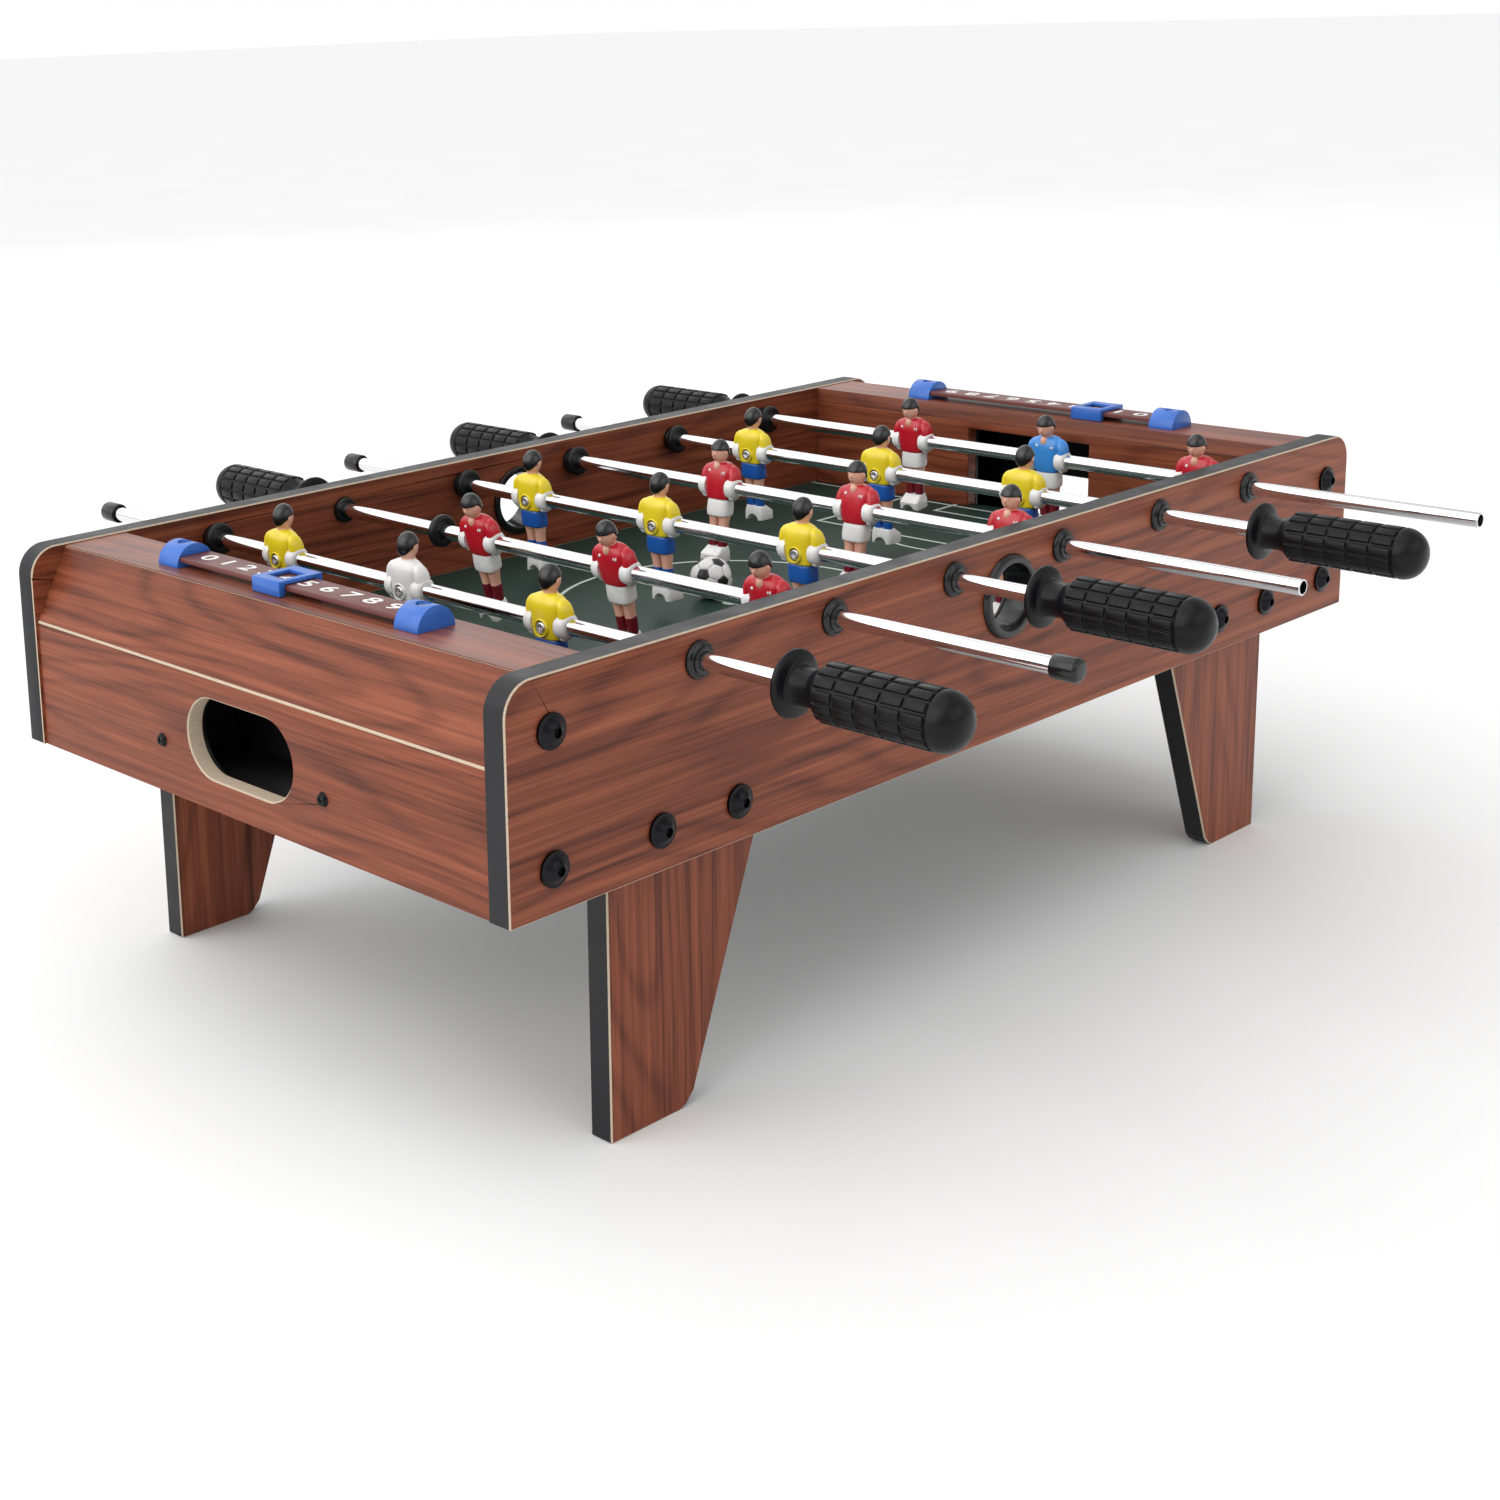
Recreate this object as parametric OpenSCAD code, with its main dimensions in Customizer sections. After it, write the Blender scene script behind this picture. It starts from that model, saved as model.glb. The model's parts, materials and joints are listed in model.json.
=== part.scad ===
// Table-top foosball table: six sliding, turning rods over a green field in a boarded box on four legs.
// Millimetres. The origin is on the floor under the middle of the table, +X runs along the length,
// +Y runs across it and +Z is up. The front is the -Y side and the left end is the -X end.

/* [Table] */
// Length over the side panels
table_l = 686; // [560:1:840]
// Width over the side panels
table_w = 368; // [320:1:450]
// Height of the side panels' top edge above the floor
table_h = 230; // [200:1:300]
// Depth of the side panels
panel_h = 104; // [98:1:130]
// Thickness of the side panels and the legs
board_t = 13; // [10:0.5:18]
// Radius of the side panels' upper corners
corner_r = 15; // [5:1:25]

/* [Ends] */
// Thickness of the end boards, end tops and goal walls
end_t = 9; // [6:0.5:12]
// How far the end boards stand in from the side panels' ends
end_inset = 1.5; // [0.5:0.5:6]
// Height of the sloped part of an end board
slope_h = 37; // [25:1:45]
// How far the slope leans in
slope_in = 19.5; // [10:0.5:26]
// Width of the flat end top
end_top_w = 37; // [32:1:50]
// Drop of the end tops below the side panels' top edge
end_top_drop = 1; // [0:0.5:3]
// Width of a goal mouth
goal_w = 90; // [70:1:110]
// Height of a goal mouth above the field
goal_h = 52; // [40:1:53]
// Width of a ball-return hole
return_w = 81; // [60:1:90]
// Height of a ball-return hole
return_h = 40; // [28:1:42]
// Height of a ball-return hole's centre above the end board's lower edge
return_up = 35.5; // [30:0.5:40]

/* [Field] */
// Depth of the field's surface below the side panels' top edge
field_drop = 67; // [62:1:75]
// Thickness of the field board
field_t = 4; // [3:0.5:6]
// Depth of the grooves that hold the field's long edges
groove_d = 4; // [2:0.5:6]
// Diameter of the ball
ball_d = 24; // [20:1:26]

/* [Legs] */
// Distance from a table end to a leg's outer edge
leg_inset = 69; // [50:1:100]
// Width of a leg at the floor
leg_foot_w = 51; // [40:1:70]
// Width of a leg at the side panels' lower edge
leg_top_w = 99; // [85:1:120]
// Length of leg that is bolted behind a side panel
leg_lap = 30; // [26:1:32]
// Radius of a foot's inner corner
leg_foot_r = 6; // [2:1:12]

/* [Rods] */
// Distance between rod axes
rod_pitch = 91.3; // [91:0.1:100]
// Depth of the rod axes below the side panels' top edge
rod_drop = 14; // [12:0.5:18]
// Outer diameter of a rod tube
rod_d = 8; // [6:0.5:10]
// Wall of a rod tube
rod_wall = 0.8; // [0.5:0.1:1.5]
// Length of tube left outside a bushing at the plain end when a rod is pushed right in
rod_tail = 19.4; // [15:0.2:40]
// Radial clearance of a rod in its bushings, figures, handle and cap
rod_fit = 0.06; // [0.02:0.01:0.1]
// Gap left between a handle and its bushing when a rod is pushed right in
handle_gap = 0.9; // [0.5:0.1:5]
// Length of a handle
handle_l = 88; // [75:1:100]
// Diameter of a handle's flange
handle_flange_d = 30; // [26:1:36]
// Diameter of a handle's grip
handle_grip_d = 26; // [20:1:28]
// Length of an end cap
cap_l = 13; // [10:1:18]
// Diameter of an end cap
cap_d = 11; // [9.5:0.5:14]

/* [Figures] */
// Distance between the figures on a rod
figure_pitch = 100; // [90:1:105]
// Width of a figure over its cuffs
figure_w = 27; // [22:0.5:30]
// Distance from the rod axis down to a figure's soles
figure_leg = 44; // [40:0.5:45]
// Distance from the rod axis up to a figure's crown
figure_head = 28; // [24:0.5:32]

/* [Fittings] */
// Diameter of a bushing's flange outside the table
bushing_d = 17.5; // [15:0.5:22]
// Diameter of a bushing's flange inside the table
bushing_in_d = 15; // [15:0.5:20]
// Diameter of the hole that a bushing is pushed into
bushing_hole_d = 12.6; // [11.5:0.1:14.5]
// Thickness of a bushing's flange outside the table
bushing_out_t = 4; // [2:0.5:6]
// Thickness of a bushing's flange inside the table
bushing_in_t = 3; // [2:0.5:5]
// Diameter of a bumper ring
ring_d = 18; // [15:0.5:22]
// Thickness of a bumper ring
ring_t = 5; // [3:0.5:8]
// Diameter of a ball port's flange
port_d = 44; // [40:1:48]
// Diameter of the way through a ball port
port_hole_d = 34; // [28:1:36]
// Diameter of a bolt's washer-shaped head
bolt_head_d = 16; // [12:1:18]
// Diameter of a bolt's shank
bolt_d = 6; // [4:0.5:7]
// Diameter of a small screw's head
screw_head_d = 7; // [5:0.5:8]
// Diameter of a small screw's shank
screw_d = 3; // [2:0.5:4]

/* [Score counters] */
// Width of a number strip
strip_w = 18; // [14:1:22]
// Thickness of a number strip
strip_t = 2.5; // [1.5:0.5:4]
// Distance between the numbers
number_pitch = 15.6; // [14:0.1:18]
// Diameter of the half-round end blocks
block_d = 22; // [20:1:26]
// Length of an end block along the strip
block_l = 16; // [12:1:20]
// Length of a slider along the strip
slider_l = 21; // [17:1:22]

/* [Rest position] */
// Place of each rod between its front stop, 0, and its back stop, 1
rod_place = [0.595, 0.08, 0.62, 0.01, 0.535, 0.005];
// Turn of the figures on each rod, in degrees
rod_turn = [0, -18, 0, 0, 0, -9];
// Number under the left and the right slider
score = [4, 2];
// Place of the ball along and across the table
ball_at = [0, 14];
// Distance from rod 2's back figure to the bumper ring that stands away from the panel
loose_gap = 32; // [18:1:60]

/* [Hidden] */
$fn = 48;
eps = 0.01;          // overlap that lets a cut break through a face
fit = 0.1;           // clearance round pieces that are pushed or screwed together
slide_fit = 0.3;     // clearance round a slider
half_l = table_l / 2;
half_w = table_w / 2;
inner_w = half_w - board_t;                 // a side panel's inner face
panel_z = table_h - panel_h;                // the side panels' lower edge
rod_z = table_h - rod_drop;
rod_r = rod_d / 2;
bore_r = rod_r + rod_fit;
field_z = table_h - field_drop;

// A rod stops when an outer figure is this far from a bushing or a bumper ring
stop_gap = 0.4;
rod_stop = inner_w - bushing_in_t - stop_gap - figure_pitch - figure_w / 2;
handle_out = half_w + bushing_out_t + rod_stop + handle_gap;
rod_reach = half_w + bushing_out_t + rod_stop + rod_tail;

// Ends: the outer face, its fold and the slope above it
end_x = half_l - end_inset;
end_top_z = table_h - end_top_drop;
fold_z = end_top_z - slope_h;
lean = slope_in / slope_h;
slope_t = end_t * sqrt(1 + lean * lean);    // the sloped board's thickness measured level
wall_x = end_x - slope_in - end_top_w;      // a goal wall's field side
tray_wall = 2;
tray_x = wall_x + end_t + fit;              // a tray's inner side
tray_low = panel_z + 12;
tray_half_w = goal_w / 2 + 23;
tray_top = end_top_z - end_t - 3;
return_z = panel_z + return_up;
tray_screw_y = return_w / 2 + 21.7;
tray_screw_z = return_z - 9;
boss_r = screw_d / 2 + 2.6;

// Bolts: two in each corner block and two in each leg
bolt_r = bolt_d / 2;
bolt_tip = 10;                              // how far a bolt runs into its insert
end_bolt_x = end_x - end_t - 14.8;
end_bolt_z = [panel_z + 20, end_top_z - 23.5];
leg_x = half_l - leg_inset;                 // a leg's outer edge
leg_bolt_z = panel_z + 19;
leg_bolt_x = [leg_x - 21, leg_x - 71];
insert_r = bolt_r + 2;
insert_l = 13;
nut_flange_r = bolt_r + 4.5;
nut_flange_t = 1.5;
nut_h = 6;
block_depth = 26;
washer_t = 1.6;
dome_r = bolt_head_d / 2 - 1.6;
dome_h = 3.6;
socket_r = 2.3;
socket_deep = 2.6;
leg_bolt_past = 3;                          // how far a leg bolt runs past the leg

// Small screws
screw_head_h = 1.8;
slot_w = 0.7;
slot_deep = 0.7;
tray_screw_bite = 7;                        // how far a tray screw runs past its end board

// Score counters
strip_lift = 3;
strip_z = end_top_z + strip_lift;
score_x = wall_x + end_top_w / 2 - 1;
strip_tuck = 3.8;                           // how far a strip runs into an end block
block_y = 4.5 * number_pitch + 12 + block_l / 2;
block_screw_drop = 3;                       // the screw's seat below the top of a block
slider_wall = 3.6;
slider_frame = 4;                           // width of the frame round a slider's window, along the strip
slider_z = [end_top_z + 0.4, strip_z + strip_t + 2.2];

// Figures, measured from the rod axis
hip_z = -7;
shoulder_z = 14;
knee_z = -17;
ankle_z = -figure_leg + 10;
torso_d = 15;
head_r = 6.4;
neck_r = 3.4;
toe_x = 12;
heel_x = -1;
foot_w = 14;
arch_r = 4;                                 // radius of the arch between a figure's boots
shorts_w = 16.4;
shorts_d = 11.6;
leg_r = 3.1;
leg_fwd = 1.5;                              // how far a figure's legs stand in front of the rod axis
screw_z = -1.5;
screw_sunk = 2;                             // how far the screw's seat lies below the figure's back
leg_gap = 3.5;                              // from the middle of a figure to the middle of a leg

// The handle side of each rod: -1 is the front, 1 the back. Its figures face the other team's goal.
handle_side = [-1, 1, -1, 1, -1, 1];
facing = [1, -1, 1, -1, 1, -1];
wood = "sienna";
board_dark = "saddlebrown";
plastic = [0.08, 0.08, 0.09];
field_green = [0.16, 0.27, 0.24];
blue = [0.12, 0.36, 0.75];
shirts = ["gold", "crimson", "gold", "crimson", "gold", "crimson"];

function rod_x(i) = (i - 2.5) * rod_pitch;
function slope_x(z) = end_x - max(0, z - fold_z) * lean;
function inner_slope_x(z) = min(end_x - end_t, slope_x(z) - slope_t);

// The height at which the inside of an end board starts to lean in
inner_fold_z = fold_z - (slope_t - end_t) / lean;

// Turns a shape drawn along +Z so that it runs along +Y (side 1) or -Y (side -1)
module along_y(side = 1) {
    rotate([-90 * side, 0, 0]) children();
}

// Places a shape at the left end (side -1) as drawn for the right end (side 1)
module at_end(side) {
    rotate([0, 0, side < 0 ? 180 : 0]) children();
}

// Extrudes a profile drawn in X and Z over the width from -half to half
module across(half) {
    translate([0, half, 0]) rotate([90, 0, 0]) linear_extrude(2 * half) children();
}

module panel_outline() {
    difference() {
        translate([-half_l, panel_z]) square([table_l, panel_h]);
        for (side = [-1, 1])
            translate([side * half_l, table_h])
                difference() {
                    square(2 * corner_r, center = true);
                    translate([-side * corner_r, -corner_r]) circle(corner_r);
                }
    }
}

module side_panel(side) {
    color(wood) difference() {
        translate([0, side * (half_w - board_t / 2), 0]) across(board_t / 2) panel_outline();
        for (i = [0 : 5])
            translate([rod_x(i), side * half_w, rod_z])
                along_y() cylinder(h = 4 * board_t, d = bushing_hole_d, center = true);
        translate([0, side * half_w, port_z()])
            along_y() cylinder(h = 4 * board_t, d = port_sleeve_d() + 2 * fit, center = true);
        for (end = [-1, 1]) {
            for (z = end_bolt_z)
                translate([end * end_bolt_x, side * half_w, z])
                    along_y() cylinder(h = 4 * board_t, r = bolt_r + fit, center = true);
            for (x = leg_bolt_x)
                translate([end * x, side * half_w, leg_bolt_z])
                    along_y() cylinder(h = 4 * board_t, r = bolt_r + fit, center = true);
        }
        field_board(fit);
    }
}

// The field board, or the groove for it when grown by a clearance
module field_board(grow = 0) {
    long = 2 * (wall_x + end_t);
    wide = 2 * (inner_w + groove_d - fit);
    translate([0, 0, field_z - field_t / 2])
        cube([long + 2 * grow, wide + 2 * grow, field_t + 2 * grow], center = true);
}

module playfield() {
    color(field_green) field_board();
}

// A stadium-shaped hole through an end, as wide and as high as given
module return_cut(wide, high, from, to) {
    reach = wide / 2 - high / 2;
    translate([from, 0, return_z]) rotate([0, 90, 0]) {
        for (y = [-reach, reach]) translate([0, y, 0]) cylinder(h = to - from, d = high);
        translate([-high / 2, -reach, 0]) cube([high, 2 * reach, to - from]);
    }
}

module end_board(side) {
    color(wood) at_end(side) difference() {
        across(inner_w) polygon([
            [end_x, panel_z], [end_x, fold_z], [slope_x(end_top_z), end_top_z],
            [inner_slope_x(end_top_z - end_t), end_top_z - end_t], [end_x - end_t, inner_fold_z],
            [end_x - end_t, panel_z]
        ]);
        return_cut(return_w, return_h, end_x - 2 * end_t, end_x + end_t);
        for (y = [-tray_screw_y, tray_screw_y])
            translate([end_x - 2 * end_t, y, tray_screw_z])
                rotate([0, 90, 0]) cylinder(h = 3 * end_t, r = screw_d / 2 + fit);
    }
}

// The board on top of an end, mitred to the end board along the table's upper edge
module end_top(side) {
    low = end_top_z - end_t;
    color(board_dark) at_end(side) difference() {
        across(inner_w) polygon([
            [wall_x, low], [inner_slope_x(low), low], [slope_x(end_top_z), end_top_z],
            [wall_x, end_top_z]
        ]);
        for (y = [-block_y, block_y])
            translate([score_x, y, low - eps]) cylinder(h = 2 * end_t, r = screw_d / 2 + fit / 2);
    }
}

module goal_wall(side) {
    top = end_top_z - end_t;
    color(board_dark) at_end(side) difference() {
        translate([wall_x, -inner_w, field_z]) cube([end_t, 2 * inner_w, top - field_z]);
        translate([wall_x - end_t, -goal_w / 2, field_z - eps]) cube([3 * end_t, goal_w, goal_h + eps]);
    }
}

// The tray's side profile, shrunk by an inset on every side but its field side
module tray_profile(inset) {
    z0 = tray_low + inset;
    z1 = tray_top - inset;
    x1 = end_x - end_t - fit - inset;
    lean_x = inset * sqrt(1 + lean * lean) + fit;
    polygon([
        [tray_x, z0], [x1, z0], [x1, inner_fold_z - inset],
        [inner_slope_x(z1) - lean_x, z1], [tray_x, z1]
    ]);
}

module goal_tray(side) {
    color(plastic) at_end(side) difference() {
        union() {
            difference() {
                across(tray_half_w) tray_profile(0);
                across(tray_half_w - tray_wall) intersection() {
                    tray_profile(tray_wall);
                    translate([tray_x + tray_wall, 0]) square([end_x, table_h]);
                }
                translate([tray_x - eps, -goal_w / 2, field_z])
                    cube([2 * tray_wall, goal_w, tray_top - tray_wall - field_z]);
                return_cut(return_w + 2, return_h + 2, end_x - 3 * end_t, end_x);
            }
            for (y = [-tray_screw_y, tray_screw_y])
                translate([end_x - end_t - fit - 10, y, tray_screw_z])
                    rotate([0, 90, 0]) cylinder(h = 10, r = boss_r);
        }
        for (y = [-tray_screw_y, tray_screw_y])
            translate([end_x - end_t - 9, y, tray_screw_z])
                rotate([0, 90, 0]) cylinder(h = 2 * end_t, r = screw_d / 2 + fit / 2);
    }
}

// A tapered leg board behind a side panel, its straight edge towards the table's end
module leg(end, side) {
    foot_x = leg_x - leg_foot_w;
    taper = (leg_top_w - leg_foot_w) / panel_z;
    top = panel_z + leg_lap;
    color(wood) difference() {
        translate([0, side * (inner_w - board_t / 2), 0]) across(board_t / 2) scale([end, 1]) {
            polygon([
                [leg_x, 0], [leg_x, top], [foot_x - taper * top, top],
                [foot_x - taper * leg_foot_r, leg_foot_r], [foot_x + leg_foot_r * 0.3, leg_foot_r * 0.3],
                [foot_x + leg_foot_r, 0]
            ]);
        }
        for (x = leg_bolt_x)
            translate([end * x, side * inner_w, leg_bolt_z])
                along_y() cylinder(h = 4 * board_t, r = bolt_r + fit, center = true);
    }
}

// Wooden blocks in the table's corners that the side panels' end bolts screw into
module corner_blocks() {
    low = panel_z + 4;
    high = end_top_z - end_t;
    color("burlywood") for (end = [-1, 1], side = [-1, 1])
        difference() {
            at_end(end) translate([0, side * (inner_w - block_depth / 2), 0])
                across(block_depth / 2) polygon([
                    [wall_x + end_t, low], [end_x - end_t, low], [end_x - end_t, inner_fold_z],
                    [inner_slope_x(high), high], [wall_x + end_t, high]
                ]);
            for (z = end_bolt_z)
                translate([end * end_bolt_x, side * end * inner_w, z])
                    along_y() cylinder(h = 2 * (insert_l + 2), r = insert_r + fit / 2, center = true);
        }
}

// A bolt whose head sits on a side panel, its shank pointing along +Z from the head's seat
module bolt(shank) {
    translate([0, 0, -washer_t]) cylinder(h = washer_t, d = bolt_head_d);
    difference() {
        translate([0, 0, -washer_t]) intersection() {
            translate([0, 0, dome_r * dome_r / dome_h / 2 - dome_h / 2])
                sphere(r = (dome_r * dome_r + dome_h * dome_h) / (2 * dome_h));
            translate([0, 0, -dome_h]) cylinder(h = dome_h + eps, r = dome_r);
        }
        translate([0, 0, -washer_t - dome_h - eps]) cylinder(h = socket_deep, r = socket_r, $fn = 6);
    }
    translate([0, 0, -eps]) cylinder(h = shank, r = bolt_r);
}

module panel_bolts() {
    color(plastic) for (end = [-1, 1], side = [-1, 1], z = end_bolt_z)
        translate([end * end_bolt_x, side * half_w, z]) along_y(-side) bolt(board_t + bolt_tip);
}

// Threaded inserts in the corner blocks
module panel_inserts() {
    color("goldenrod") for (end = [-1, 1], side = [-1, 1], z = end_bolt_z)
        translate([end * end_bolt_x, side * (inner_w - fit), z]) along_y(-side) difference() {
            cylinder(h = insert_l, r = insert_r);
            translate([0, 0, -eps]) cylinder(h = insert_l + 2 * eps, r = bolt_r + fit / 2);
        }
}

module leg_bolts() {
    color(plastic) for (end = [-1, 1], side = [-1, 1], x = leg_bolt_x)
        translate([end * x, side * half_w, leg_bolt_z]) along_y(-side) bolt(2 * board_t + leg_bolt_past);
}

// Flanged nuts on the inner face of the legs
module leg_nuts() {
    color("silver") for (end = [-1, 1], side = [-1, 1], x = leg_bolt_x)
        translate([end * x, side * (inner_w - board_t), leg_bolt_z]) along_y(-side) difference() {
            union() {
                cylinder(h = nut_flange_t, r = nut_flange_r);
                cylinder(h = nut_h, r = insert_r, $fn = 6);
            }
            translate([0, 0, -eps]) cylinder(h = nut_h + 1, r = bolt_r + fit / 2);
        }
}

// A small round-headed screw, its shank pointing along +Z from the head's seat
module small_screw(shank) {
    head_r = screw_head_d / 2;
    difference() {
        translate([0, 0, -screw_head_h]) cylinder(h = screw_head_h, r1 = head_r * 0.7, r2 = head_r);
        for (slot = [[head_r, slot_w], [slot_w, head_r]])
            translate([0, 0, -screw_head_h - eps])
                cube([slot[0], slot[1], 2 * slot_deep], center = true);
    }
    translate([0, 0, -eps]) cylinder(h = shank, r = screw_d / 2);
}

module tray_screws() {
    color(plastic) for (end = [-1, 1], y = [-tray_screw_y, tray_screw_y])
        at_end(end) translate([end_x, y, tray_screw_z]) rotate([0, -90, 0])
            small_screw(end_t + tray_screw_bite);
}

// One bushing, its flange outwards along +Z from the board's face and its sleeve into the board
module bushing(flange_d, flange_t) {
    sleeve = board_t / 2 - fit;
    edge = 1;
    difference() {
        rotate_extrude() polygon([
            [0, -sleeve], [bushing_hole_d / 2 - fit, -sleeve], [bushing_hole_d / 2 - fit, 0],
            [flange_d / 2, 0], [flange_d / 2, flange_t - edge], [flange_d / 2 - edge, flange_t],
            [0, flange_t]
        ]);
        translate([0, 0, -sleeve - eps]) cylinder(h = sleeve + flange_t + 2 * eps, r = bore_r);
    }
}

module bushings() {
    color(plastic) for (i = [0 : 5], side = [-1, 1]) {
        translate([rod_x(i), side * half_w, rod_z]) along_y(side) bushing(bushing_d, bushing_out_t);
        translate([rod_x(i), side * inner_w, rod_z]) along_y(-side) bushing(bushing_in_d, bushing_in_t);
    }
}

// A rubber ring on a rod, lying along +Z from the face it rests on
module bumper_ring() {
    edge = 1.2;
    rotate_extrude() polygon([
        [bore_r, 0], [ring_d / 2 - edge, 0], [ring_d / 2, edge], [ring_d / 2, ring_t - edge],
        [ring_d / 2 - edge, ring_t], [bore_r, ring_t]
    ]);
}

// The rings that lie against the back panel's bushings, on every rod but rod 2
module bumper_rings() {
    color(plastic) for (i = [0, 2, 3, 4, 5])
        translate([rod_x(i), inner_w - bushing_in_t, rod_z]) along_y(-1) bumper_ring();
}

module bumper_ring_loose() {
    color(plastic) translate([rod_x(1), rod_shift(1) + figure_pitch + loose_gap - ring_t / 2, rod_z])
        along_y() bumper_ring();
}

function port_z() = table_h - 31.5;
function port_sleeve_d() = port_hole_d + 4;

// Two flanged ports that the ball is dropped in through, each with a ring on the inner face
module ball_ports() {
    flange_t = 3;
    inner_t = 2;
    color(plastic) for (side = [-1, 1]) {
        translate([0, side * half_w, port_z()]) along_y(side) difference() {
            union() {
                cylinder(h = flange_t, d1 = port_d, d2 = port_d - 3);
                translate([0, 0, -board_t]) cylinder(h = board_t + eps, d = port_sleeve_d());
            }
            translate([0, 0, -board_t - eps]) cylinder(h = board_t + flange_t + 3 * eps, d = port_hole_d);
        }
        translate([0, side * inner_w, port_z()]) along_y(-side) difference() {
            translate([0, 0, fit]) cylinder(h = inner_t, d = port_d - 2);
            cylinder(h = 2 * inner_t, d = port_hole_d);
        }
    }
}

module score_blocks() {
    color(blue) for (end = [-1, 1], y = [-block_y, block_y])
        at_end(end) translate([score_x, y, end_top_z]) difference() {
            intersection() {
                along_y() cylinder(h = block_l, d = block_d, center = true);
                translate([-block_d, -block_l, fit]) cube([2 * block_d, 2 * block_l, block_d]);
            }
            translate([0, (y > 0 ? -1 : 1) * block_l / 2, strip_lift + strip_t / 2])
                cube([strip_w + 2 * fit, 2 * (strip_tuck + fit), strip_t + 2 * fit], center = true);
            cylinder(h = block_d, r = screw_d / 2 + fit);
            translate([0, 0, block_d / 2 - block_screw_drop])
                cylinder(h = block_d, r = screw_head_d / 2 + fit);
        }
}

// Number strips between the end blocks
module score_strips() {
    reach = block_y - block_l / 2 + strip_tuck;
    color([0.35, 0.2, 0.2]) for (end = [-1, 1])
        translate([end * score_x - strip_w / 2, -reach, strip_z]) cube([strip_w, 2 * reach, strip_t]);
}

module score_screws() {
    color("dimgray") for (end = [-1, 1], y = [-block_y, block_y])
        at_end(end) translate([score_x, y, end_top_z + block_d / 2 - block_screw_drop])
            rotate([180, 0, 0]) small_screw(block_d / 2 - block_screw_drop + end_t - 1);
}

// Place of a number across the table, seen from the end that the counter stands on
function number_y(end, n) = -end * (4.5 - n) * number_pitch;

// A window frame that slides along a number strip
module score_slider(end) {
    wide = strip_w + 2 * (slide_fit + slider_wall);
    high = slider_z[1] - slider_z[0];
    window = [strip_w - 5, slider_l - 2 * slider_frame];
    place = number_y(end, end < 0 ? score[0] : score[1]);
    color(blue) translate([end * score_x, place, slider_z[0]]) difference() {
        translate([-wide / 2, -slider_l / 2, 0]) cube([wide, slider_l, high]);
        translate([-strip_w / 2 - slide_fit, -slider_l, -eps])
            cube([strip_w + 2 * slide_fit, 2 * slider_l, strip_z + strip_t + slide_fit - slider_z[0]]);
        translate([-window[0] / 2, -window[1] / 2, 0]) cube([window[0], window[1], 2 * high]);
    }
}

module ball() {
    color("white") translate([ball_at[0], ball_at[1], field_z + ball_d / 2]) sphere(d = ball_d);
}

// How far a rod's middle figure is from the middle of the table
function rod_shift(i) = -rod_stop + rod_place[i] * (2 * rod_stop - ring_t);

// Puts a rod's own pieces in place: the origin is the middle figure on the rod axis
module on_rod(i) {
    translate([rod_x(i), rod_shift(i), rod_z]) children();
}

// How far a tube runs on from a handle's flange inside the handle
tube_in_handle = 52;

module rod_tube(i) {
    long = rod_reach + handle_out + tube_in_handle;
    color("silver") on_rod(i) translate([0, -handle_side[i] * rod_reach, 0]) along_y(handle_side[i])
        difference() {
            cylinder(h = long, r = rod_r);
            translate([0, 0, -eps]) cylinder(h = long + 2 * eps, r = rod_r - rod_wall);
        }
}

module rod_cap(i) {
    socket = 6;
    edge = 1.5;
    color(plastic) on_rod(i) translate([0, -handle_side[i] * (rod_reach - socket), 0])
        along_y(-handle_side[i]) difference() {
            rotate_extrude() polygon([
                [0, 0], [cap_d / 2, 0], [cap_d / 2, cap_l - edge], [cap_d / 2 - edge, cap_l], [0, cap_l]
            ]);
            translate([0, 0, -eps]) cylinder(h = socket + eps + fit, r = bore_r);
        }
}

module rod_handle(i) {
    flange_r = handle_flange_d / 2;
    grip_r = handle_grip_d / 2;
    neck_r = grip_r - 4;
    flange_t = 4;
    neck_end = 16;
    dome = 14;
    color(plastic) on_rod(i) translate([0, handle_side[i] * handle_out, 0]) along_y(handle_side[i])
        difference() {
            union() {
                rotate_extrude() polygon([
                    [0, 0], [flange_r - 1, 0], [flange_r, 1], [flange_r, flange_t - 1],
                    [flange_r - 1, flange_t], [neck_r, flange_t], [neck_r, neck_end],
                    [grip_r - 1, neck_end + 5], [grip_r, handle_l - dome], [0, handle_l - dome]
                ]);
                intersection() {
                    translate([0, 0, handle_l - grip_r]) sphere(r = grip_r);
                    translate([0, 0, handle_l - dome]) cylinder(h = 2 * dome, r = grip_r);
                }
            }
            translate([0, 0, -eps]) cylinder(h = tube_in_handle + 1, r = bore_r);
            translate([0, 0, set_screw_at]) rotate([0, facing[i] * 90, 0])
                cylinder(h = flange_r, r = screw_d / 2 + fit);
        }
}

// Distance from a handle's flange to its set screw
set_screw_at = 9;

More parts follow.
